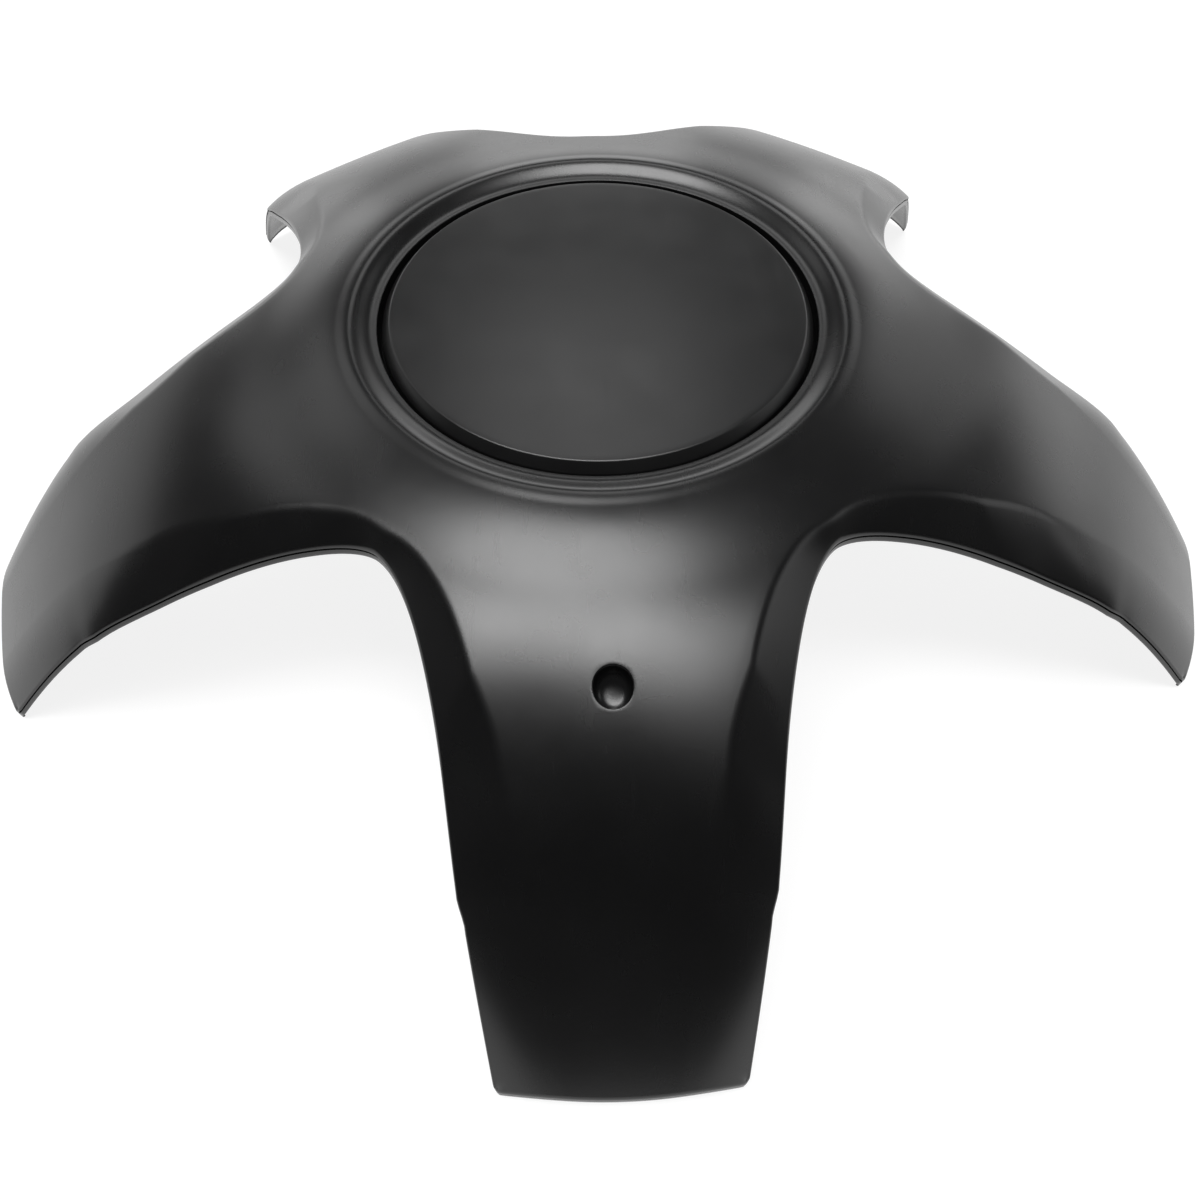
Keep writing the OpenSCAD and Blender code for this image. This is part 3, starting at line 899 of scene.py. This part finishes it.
        def arc(root: BMVert, share: float) -> Vector:
            """Return a point of the rounded corner, from the face's own slope to upright."""
            a0 = slopes[root]
            a = lerp(a0, math.pi / 2, share)
            r = reach / max(0.2, 1 - math.sin(a0))
            return profile(root, r * (math.sin(a) - math.sin(a0)), r * (math.cos(a0) - math.cos(a)))

        for k in range(1, rim.arc_steps + 1):
            grow.ring(lambda root, t=k / rim.arc_steps: arc(root, t))
        base = {v: arc(v, 1.0) for v in away}
        steps = [(0, 0.08), (-rim.groove, 0.2), (-rim.groove, 0.42), (0, 0.56),
                 (0, rim.upright * 0.6), (0, rim.upright - rim.foot_round)]
        for a in (math.radians(45), math.radians(90)):
            steps.append((-rim.foot_round * (1 - math.cos(a)),
                          rim.upright - rim.foot_round * (1 - math.sin(a))))
        for out, down in steps:
            grow.ring(lambda root, o=out, d=down: base[root]
                      + Vector((away[root].x * o, away[root].y * o, -d)))
        grow.ring(lambda root: Vector((start[root].x, start[root].y, base[root].z - rim.upright)))
        return {v: base[v].z - rim.upright for v in away}

    def add_underside(self, bm: BMesh, top: list[BMFace], rim_base: dict[BMVert, float]) -> None:
        """Copy the top face down by the wall's thickness and join it to the rim.

        Args:
            bm: The mesh.
            top: The faces of the star's top, outside the hub circle.
            rim_base: The height of the rim's underside below each vertex of the outline.
        """
        made = bmesh.ops.duplicate(bm, geom=list({v for f in top for v in f.verts})
                                   + list({e for f in top for e in f.edges}) + top)
        fresh = {g for g in made["geom"] if isinstance(g, BMVert)}
        pairs = {old: new for old, new in made["vert_map"].items()
                 if isinstance(old, BMVert) and new in fresh}
        gaps = self.outline_gaps(list(pairs), list(rim_base))
        for old, new in pairs.items():
            if old in rim_base:
                new.co.z = rim_base[old]
            else:
                new.co.z = old.co.z - self.thickness(old, gaps[old])
        bmesh.ops.reverse_faces(bm, faces=[g for g in made["geom"] if isinstance(g, BMFace)])
        bmesh.ops.remove_doubles(bm, verts=bm.verts, dist=0.0005)

    def outline_gaps(self, verts: Sequence[BMVert], outline: Sequence[BMVert]) -> dict[BMVert, float]:
        """Return each vertex's distance in plan from the outline, as far as it matters for the wall."""
        tree = KDTree(len(outline))
        for n, vert in enumerate(outline):
            tree.insert((vert.co.x, vert.co.y, 0), n)
        tree.balance()
        return {v: tree.find((v.co.x, v.co.y, 0))[2] for v in verts}

    def build(self, maker: MeshMaker) -> bpy.types.Object:
        """Build the skin.

        Args:
            maker: Places the finished mesh in the frame.

        Returns:
            The skin's object.
        """
        bm = bmesh.new()
        self.half_arm(bm)
        self.round_tip_corner(bm)
        self.star(bm)
        self.soften_valleys(bm)
        top = bm.faces[:]
        self.add_underside(bm, top, self.add_rim(bm))
        self.add_hole_sleeve(bm)
        self.add_hole(bm)
        self.add_hub(bm)
        self.add_hub_underside(bm)
        return maker.finish(bm, "star_skin", smooth_angle=50)


# The moulding's underside


@dataclass(frozen=True)
class Seat:
    """Where the cap seats on the wheel's hub, and the spigot that locates it in the bore."""

    depth: float = 26.0
    spigot_r: float = 38.1
    wall: float = 2.2
    length: float = 6.0
    lead: float = 0.8
    flange_w: float = 3.9
    flange_t: float = 2.0
    gusset_count: int = 10
    gusset_h: float = 8.0
    gusset_t: float = 1.6

    @property
    def inner_r(self) -> float:
        """Inner radius of the spigot's wall."""
        return self.spigot_r - self.wall


@dataclass(frozen=True)
class Legs:
    """The snap legs inside the spigot, each with a barb outside and a nib inside for the spring ring."""

    count: int = 6
    angle: float = 40.0
    gap: float = 2.9
    wall: float = 2.4
    length: float = 16.0
    barb_out: float = 1.9
    barb_lead: float = 4.4
    barb_back: float = 2.2
    nib_h: float = 1.6
    nib_in: float = 1.44
    steps: int = 16


@dataclass
class Underside:
    """The spigot with its flange and gussets, the snap legs, the arms' ribs and the blind hole's cup."""

    skin: StarSkin = field(default_factory=StarSkin)
    seat: Seat = field(default_factory=Seat)
    legs: Legs = field(default_factory=Legs)
    turn_steps: int = 160
    overlap: float = 0.6
    rib_t: float = 1.6
    rib_offset: float = 11.2
    rib_depth_root: float = 7.0
    rib_depth_end: float = 2.0
    rib_end: float = 106.0
    rib_steps: int = 24
    cross_rib_at: float = 92.0
    cup_wall: float = 1.8
    cup_steps: int = 48

    @property
    def floor_z(self) -> float:
        """Height just inside the recess floor's underside, where the walls below it start."""
        return -self.skin.recess_depth - self.skin.wall + self.overlap

    @property
    def leg_inner_r(self) -> float:
        """Radius of the legs' inner faces."""
        return self.seat.inner_r - self.legs.gap - self.legs.wall

    @property
    def nib_top(self) -> float:
        """Height of the nibs' upper faces, on which the spring ring rests."""
        return -self.seat.depth - self.legs.length + self.legs.nib_h + self.overlap

    def build_spigot(self, maker: MeshMaker) -> bpy.types.Object:
        """Spin the spigot's wall with its seating flange."""
        seat = self.seat
        seat_z = -seat.depth
        end_z = seat_z - seat.length
        flange_r = seat.spigot_r + seat.flange_w
        corners = [
            (seat.inner_r, self.floor_z, 0), (seat.spigot_r, self.floor_z, 0),
            (seat.spigot_r, seat_z + seat.flange_t, 0.7), (flange_r, seat_z + seat.flange_t, 0.4),
            (flange_r, seat_z, 0.25), (seat.spigot_r, seat_z, 0.15), (seat.spigot_r, end_z, 0.25),
            (seat.spigot_r - seat.lead, end_z - seat.lead, 0.25), (seat.inner_r, end_z - seat.lead, 0.3)]
        bm = bmesh.new()
        spun(bm, filleted(corners), self.turn_steps, closed=True)
        return maker.finish(bm, "spigot")

    def build_gussets(self, maker: MeshMaker) -> bpy.types.Object:
        """Stand the gussets on the seating flange."""
        seat = self.seat
        top, low = -seat.depth + seat.gusset_h, -seat.depth + self.overlap
        inside, outside = seat.spigot_r - self.overlap, seat.spigot_r + seat.flange_w - 1
        foot = -seat.depth + seat.flange_t + 1
        bm = bmesh.new()
        plate(bm, [(inside, low), (outside, low), (outside, foot), (seat.spigot_r, top),
                   (inside, top)], seat.gusset_t)
        soften(bm, 0.25)
        repeated(bm, seat.gusset_count, 180 / seat.gusset_count)
        return maker.finish(bm, "seat_gussets")

    def build_legs(self, maker: MeshMaker) -> bpy.types.Object:
        """Turn one snap leg's section through its angle and repeat it."""
        legs, seat = self.legs, self.seat
        outer = seat.inner_r - legs.gap
        inner = self.leg_inner_r
        end_z = -seat.depth - legs.length
        barb_z = end_z + legs.barb_lead
        nib_r = inner - legs.nib_in - 0.1
        barb_r = outer + legs.barb_out
        corners = [
            (inner, self.floor_z, 0), (outer, self.floor_z, 0), (outer, barb_z + legs.barb_back, 0.5),
            (barb_r, barb_z, 0.3), (barb_r, barb_z - 0.8, 0.3), (outer - 0.6, end_z, 0.3),
            (nib_r + 0.5, end_z, 0.2), (nib_r, end_z + 0.6, 0.2), (nib_r, self.nib_top, 0.35),
            (inner, self.nib_top, 0.35)]
        bm = bmesh.new()
        section = bm.faces.new([bm.verts.new((r, 0, z)) for r, z in filleted(corners)])
        turned(bm, [section, *section.edges, *section.verts], math.radians(legs.angle), legs.steps)
        soften(bm, 0.2, sharper=60, segments=2)
        repeated(bm, legs.count, 90 + 180 / legs.count - legs.angle / 2)
        return maker.finish(bm, "snap_legs")

    @property
    def rib_start(self) -> float:
        """Where a lengthwise rib leaves the spigot's wall."""
        return self.seat.spigot_r - self.seat.wall / 2

    def rib_at(self, radius: float) -> float:
        """Return how far along the arm a lengthwise rib crosses a circle."""
        return math.sqrt(radius**2 - self.rib_offset**2)

    def rib_top(self, along: float) -> float:
        """Return the height inside the skin at which a lengthwise rib starts."""
        if along <= self.rib_at(self.skin.recess_r + 1):
            return -self.skin.recess_depth - self.skin.wall / 2
        return self.skin.crown.height(along, self.rib_offset) - self.skin.wall / 2

    def rib_low(self, along: float) -> float:
        """Return the height of a lengthwise rib's lower edge."""
        start = self.rib_start
        x = max(along, self.rib_at(self.skin.lip_r + 0.6))
        skin = self.skin.wall * math.hypot(1, self.skin.crown.slope(x, self.rib_offset))
        depth = lerp(self.rib_depth_root, self.rib_depth_end, (along - start) / (self.rib_end - start))
        return self.skin.crown.height(x, self.rib_offset) - skin - depth

    def build_ribs(self, maker: MeshMaker) -> bpy.types.Object:
        """Lay the two lengthwise ribs and the cross rib under every arm."""
        neck, skin_from = self.rib_at(self.skin.recess_r + 1), self.rib_at(self.skin.lip_r + 0.6)
        marks = [self.rib_start, neck] + [lerp(skin_from, self.rib_end, k / self.rib_steps)
                                          for k in range(self.rib_steps + 1)]
        outline = [(x, self.rib_top(x)) for x in marks] + [(x, self.rib_low(x)) for x in reversed(marks)]
        bm = bmesh.new()
        for side in (-1, 1):
            plate(bm, outline, self.rib_t, side * self.rib_offset)
        low, high = self.rib_low(self.cross_rib_at) + 1, self.rib_top(self.cross_rib_at) - 0.3
        near, far = self.cross_rib_at - self.rib_t / 2, self.cross_rib_at + self.rib_t / 2
        plate(bm, [(near, low), (far, low), (far, high), (near, high)], 2 * self.rib_offset)
        soften(bm, 0.2, sharper=60, segments=2)
        repeated(bm, self.skin.plan.arm_count, -90)
        return maker.finish(bm, "arm_ribs")

    def build_cup(self, maker: MeshMaker) -> bpy.types.Object:
        """Close the blind hole below the skin with a small cup."""
        skin = self.skin
        radius = skin.hole_r + self.cup_wall
        top = skin.crown.height(skin.hole_along, 0)
        low = top - skin.hole_depth - self.cup_wall
        slope = skin.crown.slope(skin.hole_along, 0)
        bm = bmesh.new()
        corners = [(0, low, 0), (radius, low, 0.4), (radius, top, 0)]
        spun(bm, filleted(corners, closed=False), self.cup_steps)
        bmesh.ops.translate(bm, vec=(0, -skin.hole_along, 0), verts=bm.verts)
        for vert in bm.verts:
            if vert.co.z > top - 0.01:
                vert.co.z = top - skin.wall / 2 + slope * (vert.co.y + skin.hole_along)
        return maker.finish(bm, "hole_cup")

    def build(self, maker: MeshMaker) -> list[bpy.types.Object]:
        """Build every piece of the underside."""
        return [self.build_spigot(maker), self.build_gussets(maker), self.build_legs(maker),
                self.build_ribs(maker), self.build_cup(maker)]


# The badge disc and the spring ring


@dataclass
class BadgeDisc:
    """The bare domed disc in the recess: its face with a bevelled edge, and its staked pegs."""

    radius: float = 41.2
    rim_h: float = 0.95
    dome: float = 1.1
    bevel_w: float = 1.6
    bevel_h: float = 1.85
    wall: float = 2.0
    turn_steps: int = 240
    dome_steps: int = 24
    peg_count: int = 4
    peg_at: float = 22.0
    peg_steps: int = 40
    stake_r: float = 3.2
    stake_h: float = 1.4
    skin: StarSkin = field(default_factory=StarSkin)

    @property
    def face_r(self) -> float:
        """Radius of the face inside the bevel."""
        return self.radius - self.bevel_w

    def height(self, r: float) -> float:
        """Return the domed face's height at a radius."""
        return self.rim_h + self.dome * (1 - (r / self.face_r) ** 2)

    def build_face(self, maker: MeshMaker) -> bpy.types.Object:
        """Spin the disc: dome, rounded rim, bevel, skirt and hollow underside."""
        edge, outer, inner = self.face_r, self.radius, self.radius - self.wall
        bevel_z, foot_z = self.rim_h - self.bevel_h, -self.skin.recess_depth
        dome = [(r, self.height(r)) for r in (edge * k / self.dome_steps for k in range(self.dome_steps))]
        rim = filleted([
            (edge - 1.2, self.height(edge - 1.2), 0), (edge, self.rim_h, 0.22),
            (outer - 0.55, bevel_z + 0.62, 0), (outer, bevel_z, 0.3),
            (outer, foot_z, 0.15), (inner, foot_z, 0.15), (inner, bevel_z - 0.4, 0.3),
            (edge - self.wall, self.rim_h - self.wall, 0.5), (0, self.height(0) - self.wall, 0)],
            closed=False)
        bm = bmesh.new()
        spun(bm, [p for p in dome if p[0] < edge - 1.3] + rim, self.turn_steps)
        return maker.finish(bm, "badge_face", smooth_angle=28)

    def build_pegs(self, maker: MeshMaker) -> bpy.types.Object:
        """Set the staked heads of the pegs under the recess floor."""
        top = -self.skin.recess_depth - self.skin.wall
        bm = bmesh.new()
        corners = [(0, top, 0), (self.stake_r, top, 0.15), (self.stake_r, top - self.stake_h, 0.8),
                   (0, top - self.stake_h, 0)]
        spun(bm, filleted(corners, closed=False), self.peg_steps)
        bmesh.ops.translate(bm, vec=(self.peg_at, 0, 0), verts=bm.verts)
        repeated(bm, self.peg_count, 180 / self.peg_count)
        return maker.finish(bm, "peg_heads")

    def build(self, maker: MeshMaker) -> list[bpy.types.Object]:
        """Build the disc's face and the heads of its pegs."""
        return [self.build_face(maker), self.build_pegs(maker)]


@dataclass
class SpringRing:
    """Round spring wire in an open circle on the legs' nibs, with dressed ends."""

    wire_r: float = 1.2
    gap: float = 0.1
    opening: float = 14.0
    end_round: float = 0.35
    turn_steps: int = 180
    wire_steps: int = 20
    underside: Underside = field(default_factory=Underside)

    def build(self, maker: MeshMaker) -> bpy.types.Object:
        """Sweep the wire round the axis and round its two ends."""
        bend_r = self.underside.leg_inner_r - self.gap - self.wire_r
        bm = bmesh.new()
        bmesh.ops.create_circle(bm, cap_ends=False, segments=self.wire_steps, radius=self.wire_r)
        rotated(bm, math.pi / 2, "X")
        bmesh.ops.translate(bm, vec=(bend_r, 0, self.underside.nib_top + self.wire_r), verts=bm.verts)
        turned(bm, everything(bm), math.radians(360 - self.opening), self.turn_steps)
        for loop in boundary_loops(bm):
            bmesh.ops.contextual_create(bm, geom=loop)
        soften(bm, self.end_round, sharper=70)
        rotated(bm, math.radians(90 + self.opening / 2))
        return maker.finish(bm, "spring_wire")


class View(Enum):
    """Where the photograph was taken from: the camera's place and aim in the frame of the dish, in mm."""

    PLACE = (-4.2, -147.98, 121.27)
    AHEAD = (0.01752, 0.55539, -0.8314)
    UP = (0.02501, 0.83103, 0.55568)


def add_camera(lift: float) -> None:
    """Set the photograph's camera."""
    data = bpy.data.cameras.new("photo_camera")
    data.lens, data.sensor_width = 28.687, 36.0
    data.clip_start, data.clip_end = 0.005, 10.0
    camera = bpy.data.objects.new("photo_camera", data)
    bpy.context.scene.collection.objects.link(camera)
    ahead, up = Vector(View.AHEAD.value).normalized(), Vector(View.UP.value)
    right = ahead.cross(up).normalized()
    up = right.cross(ahead)
    turn = Matrix((right, up, -ahead)).transposed().to_4x4()
    camera.matrix_world = Matrix.Translation(Vector(View.PLACE.value) * MM + Vector((0, 0, lift))) @ turn
    bpy.context.scene.camera = camera


# Finishes


class Graph:
    """Short-hand for laying out a material's nodes."""

    def __init__(self, material: bpy.types.Material) -> None:
        """Keep the material's node tree."""
        self.nodes, self.links = material.node_tree.nodes, material.node_tree.links

    def add(self, kind: str, settings: dict[str, object], **inputs: object) -> bpy.types.Node:
        """Add a node.

        Args:
            kind: The node's type.
            settings: Values of the node's own properties.
            inputs: A number, colour or another node's output for each input, with spaces written as underscores.

        Returns:
            The node.
        """
        node = self.nodes.new(kind)
        for key, value in settings.items():
            setattr(node, key, value)
        for key, value in inputs.items():
            self.set(node.inputs[key.replace("_", " ")], value)
        return node

    def remap(self, value: bpy.types.NodeSocket, span: Sequence[float], onto: Sequence[float],
              **settings: object) -> bpy.types.NodeSocket:
        """Add a clamped map from one span of values onto another."""
        node = self.add("ShaderNodeMapRange", {"clamp": True, **settings}, Value=value)
        for key, number in zip(("From Min", "From Max", "To Min", "To Max"), (*span, *onto)):
            node.inputs[key].default_value = number
        return node.outputs["Result"]

    def math(self, operation: str, *values: object) -> bpy.types.NodeSocket:
        """Add a math node on numbers or sockets."""
        node = self.add("ShaderNodeMath", {"operation": operation})
        for socket, value in zip(node.inputs, values):
            self.set(socket, value)
        return node.outputs["Value"]

    def set(self, socket: bpy.types.NodeSocket, value: object) -> None:
        """Link an input to an output, or give it a plain value."""
        if isinstance(value, bpy.types.NodeSocket):
            self.links.new(value, socket)
        else:
            socket.default_value = value


@dataclass(frozen=True)
class Finish:
    """A procedural surface: a colour with soft mottling, a gloss that varies, fine scuffs and a fine grain.

    The scales are noise frequencies per metre.
    """

    name: str
    dark: tuple[float, float, float]
    light: tuple[float, float, float]
    gloss: tuple[float, float]
    metallic: float = 0.0
    mottle_scale: float = 45.0
    cloud_scale: float = 120.0
    grain_scale: float = 2600.0
    grain_height: float = 0.000006
    scuff_scale: float = 700.0
    scuff_share: float = 0.25
    scuff_stretch: tuple[float, float, float] = (1.0, 0.06, 0.3)
    scuff_span: tuple[float, float] = (0.62, 0.78)
    cloud_span: tuple[float, float] = (0.3, 0.8)

    def make(self) -> bpy.types.Material:
        """Build the material's nodes."""
        material = bpy.data.materials.new(self.name)
        material.use_nodes = True
        graph = Graph(material)
        shader = graph.nodes["Principled BSDF"]
        place = graph.add("ShaderNodeTexCoord", {}).outputs["Object"]
        mottle = graph.add("ShaderNodeTexNoise", {}, Vector=place, Scale=self.mottle_scale, Detail=4.0)
        colour = graph.add("ShaderNodeValToRGB", {}, Fac=mottle.outputs["Fac"])
        for stop, at, value in zip(colour.color_ramp.elements, (0.35, 0.65), (self.dark, self.light)):
            stop.position, stop.color = at, (*value, 1)
        graph.set(shader.inputs["Base Color"], colour.outputs["Color"])
        graph.set(shader.inputs["Roughness"], self.roughness(graph, place))
        grain = graph.add("ShaderNodeTexNoise", {}, Vector=place, Scale=self.grain_scale, Detail=2.0)
        bump = graph.add("ShaderNodeBump", {}, Strength=1.0, Distance=self.grain_height,
                         Height=grain.outputs["Fac"])
        graph.set(shader.inputs["Normal"], bump.outputs["Normal"])
        shader.inputs["Metallic"].default_value = self.metallic
        return material

    def roughness(self, graph: Graph, place: bpy.types.NodeSocket) -> bpy.types.NodeSocket:
        """Return a roughness that drifts in soft clouds and is a little higher in thin scuffs."""
        clouds = graph.add("ShaderNodeTexNoise", {}, Vector=place, Scale=self.cloud_scale, Detail=5.0)
        along = graph.add("ShaderNodeMapping", {}, Vector=place, Scale=self.scuff_stretch,
                          Rotation=(0, 0, 0.5))
        scuffs = graph.add("ShaderNodeTexNoise", {}, Vector=along.outputs["Vector"],
                           Scale=self.scuff_scale, Detail=2.0)
        thin = graph.remap(scuffs.outputs["Fac"], self.scuff_span, (0.0, self.scuff_share))
        both = graph.math("ADD", clouds.outputs["Fac"], thin)
        return graph.remap(both, self.cloud_span, self.gloss)


FINISHES = {
    "black_shell": Finish("satin_black_shell", (0.0040, 0.0040, 0.0042), (0.0055, 0.0055, 0.0057),
                          (0.255, 0.285)),
    "black_disc": Finish("satin_black_disc", (0.0045, 0.0045, 0.0047), (0.0065, 0.0065, 0.0067),
                         (0.3, 0.36), mottle_scale=70.0, grain_height=0.000005),
    "spring_wire": Finish("zinc_plated_wire", (0.48, 0.49, 0.51), (0.66, 0.67, 0.68), (0.22, 0.42),
                          metallic=1.0, mottle_scale=400.0, cloud_scale=900.0, grain_scale=4000.0,
                          scuff_share=0.6),
}


# Studio


@dataclass(frozen=True)
class SoftLight:
    """One square soft light that faces the cap, as seen from it."""

    name: str
    azimuth: float
    elevation: float
    spread: float
    power: float
    distance: float = 2.6


@dataclass
class Studio:
    """White cove, a dim room above it, and soft lights. Sizes in metres."""

    target: Vector
    cove_radius: float = 3.2
    cove_height: float = 2.2
    cove_bend: float = 0.5
    cove_steps: int = 8
    cove_sides: int = 96
    cove_albedo: float = 0.2
    cove_glow: float = 0.86
    front_glow: float = 0.0
    front_fade: tuple[float, float] = (-0.42, -0.15)
    top_fade: tuple[float, float] = (0.94, 0.98)
    ambient: float = 0.01
    lights: tuple[SoftLight, ...] = (
        SoftLight("left_high", 270, 68, 0.9, 19),
        SoftLight("overhead_left", 240, 80, 0.9, 17),
        SoftLight("overhead_right", 60, 80, 0.9, 16),
        SoftLight("overhead", 0, 90, 0.9, 13),
        SoftLight("right_high", 45, 68, 0.9, 3.2),
        SoftLight("back_high", 180, 50, 0.9, 6),
        SoftLight("back_left", 225, 40, 0.9, 3.4),
        SoftLight("back_right", 135, 30, 0.9, 3.0),
        SoftLight("right", 90, 30, 0.9, 3.4),
        SoftLight("back_low", 180, 12, 0.9, 3.0),
        SoftLight("back_low_left", 210, 12, 0.9, 3.0),
        SoftLight("back_low_right", 150, 12, 0.9, 3.6),
        SoftLight("low_right", 120, 12, 0.9, 2.2),
    )

    def add_cove(self, height: float) -> bpy.types.Object:
        """Lay the white floor, which bends up into a wall all round.

        Args:
            height: Where the cap's lowest points are, in metres.

        Returns:
            The floor and wall as one stage piece.
        """
        radius, bend_r = self.cove_radius, self.cove_bend
        bend = [(radius - bend_r * (1 - math.sin(t)), bend_r * (1 - math.cos(t)))
                for t in (math.pi / 2 * k / self.cove_steps for k in range(self.cove_steps + 1))]
        bm = bmesh.new()
        line = [bm.verts.new((r, 0, height + z)) for r, z in [(0, 0), *bend, (radius, self.cove_height)]]
        edges = [bm.edges.new(pair) for pair in zip(line, line[1:])]
        turned(bm, line + edges, math.tau, self.cove_sides, use_merge=True)
        bmesh.ops.remove_doubles(bm, verts=bm.verts, dist=1e-6)
        bmesh.ops.recalc_face_normals(bm, faces=bm.faces)
        for face in bm.faces:
            face.smooth = True
        mesh = bpy.data.meshes.new("studio_cove")
        bm.to_mesh(mesh)
        bm.free()
        cove = bpy.data.objects.new("studio_cove", mesh)
        bpy.context.scene.collection.objects.link(cove)
        cove.data.materials.append(self.cove_material())
        cove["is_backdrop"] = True
        return cove

    def cove_material(self) -> bpy.types.Material:
        """Return matt white that stays white to the eye and in gloss, and still takes the cap's shadow."""
        material = bpy.data.materials.new("studio_white")
        material.use_nodes = True
        graph = Graph(material)
        shader = graph.nodes["Principled BSDF"]
        shader.inputs["Base Color"].default_value = (*[self.cove_albedo] * 3, 1)
        shader.inputs["Roughness"].default_value = 1.0
        shader.inputs["Specular IOR Level"].default_value = 0.0
        shader.inputs["Emission Color"].default_value = (1, 1, 1, 1)
        path = graph.add("ShaderNodeLightPath", {})
        mirrored = graph.math("MAXIMUM", path.outputs["Is Glossy Ray"], path.outputs["Is Transmission Ray"])
        in_gloss = graph.math("MULTIPLY", mirrored, self.gloss_glow(graph))
        glow = graph.math("MULTIPLY_ADD", path.outputs["Is Camera Ray"], self.cove_glow, in_gloss)
        graph.set(shader.inputs["Emission Strength"], glow)
        return material

    def gloss_glow(self, graph: Graph) -> bpy.types.NodeSocket:
        """Return the glow that gloss shows: full round and behind the cap, none far in front or high up."""
        place = graph.add("ShaderNodeSeparateXYZ", {},
                          Vector=graph.add("ShaderNodeTexCoord", {}).outputs["Object"])
        back = graph.remap(place.outputs["Y"], self.front_fade, (self.front_glow, self.cove_glow),
                           interpolation_type="SMOOTHSTEP")
        low = graph.remap(place.outputs["Z"], self.top_fade, (1, 0))
        return graph.math("MULTIPLY", back, low)

    def add_lights(self) -> None:
        """Hang the soft lights round the cap."""
        for light in self.lights:
            data = bpy.data.lights.new(light.name, "AREA")
            data.shape = "SQUARE"
            data.size = light.spread
            data.energy = light.power
            lamp = bpy.data.objects.new(light.name, data)
            a, e = math.radians(light.azimuth), math.radians(light.elevation)
            away = Vector((math.sin(a) * math.cos(e), -math.cos(a) * math.cos(e), math.sin(e)))
            lamp.location = self.target + away * light.distance
            lamp.rotation_mode = "QUATERNION"
            lamp.rotation_quaternion = (-away).to_track_quat("-Z", "Y")
            bpy.context.scene.collection.objects.link(lamp)

    def set_world(self) -> None:
        """Give the room above the cove a dim even light."""
        world = bpy.data.worlds.new("studio_room")
        bpy.context.scene.world = world
        world.use_nodes = True
        room = world.node_tree.nodes["Background"]
        room.inputs["Color"].default_value = (1, 1, 1, 1)
        room.inputs["Strength"].default_value = self.ambient


def clear_start_scene() -> None:
    """Remove what Blender's start file brings."""
    kept = set(frame["nodes"].values()) | set(frame["bodies"].values())
    for thing in list(bpy.data.objects):
        if thing not in kept:
            bpy.data.objects.remove(thing)


def dress(piece: bpy.types.Object, node: str, material: bpy.types.Material) -> None:
    """Give a piece its material, hang it on the root body, hide the solid that it stands for and log it.

    Args:
        piece: The finished object.
        node: The solid that it replaces.
        material: The procedural material.
    """
    piece.data.materials.append(material)
    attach(piece, "root")
    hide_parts(node)
    log.info("%s: %d faces, stands for %s", piece.name, len(piece.data.polygons), node)


def main() -> None:
    """Build every piece, light the scene and report."""
    logging.basicConfig(level=logging.INFO, format="%(name)s: %(message)s")
    clear_start_scene()
    skin = StarSkin()
    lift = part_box("cap_shell")[1].z - skin.lip_h * MM
    add_camera(lift)
    scene = bpy.context.scene
    scene.view_settings.view_transform = "Standard"
    maker = MeshMaker(lift)
    finishes = {slot: finish.make() for slot, finish in FINISHES.items()}
    for piece in [skin.build(maker)] + Underside().build(maker):
        dress(piece, "cap_shell", finishes["black_shell"])
    for piece in BadgeDisc().build(maker):
        dress(piece, "badge_disc", finishes["black_disc"])
    dress(SpringRing().build(maker), "spring_ring", finishes["spring_wire"])
    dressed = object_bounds()
    studio = Studio(Vector((0, 0, lift)))
    studio.add_cove(dressed[0].z)
    studio.add_lights()
    studio.set_world()


if __name__ == "__main__":
    main()
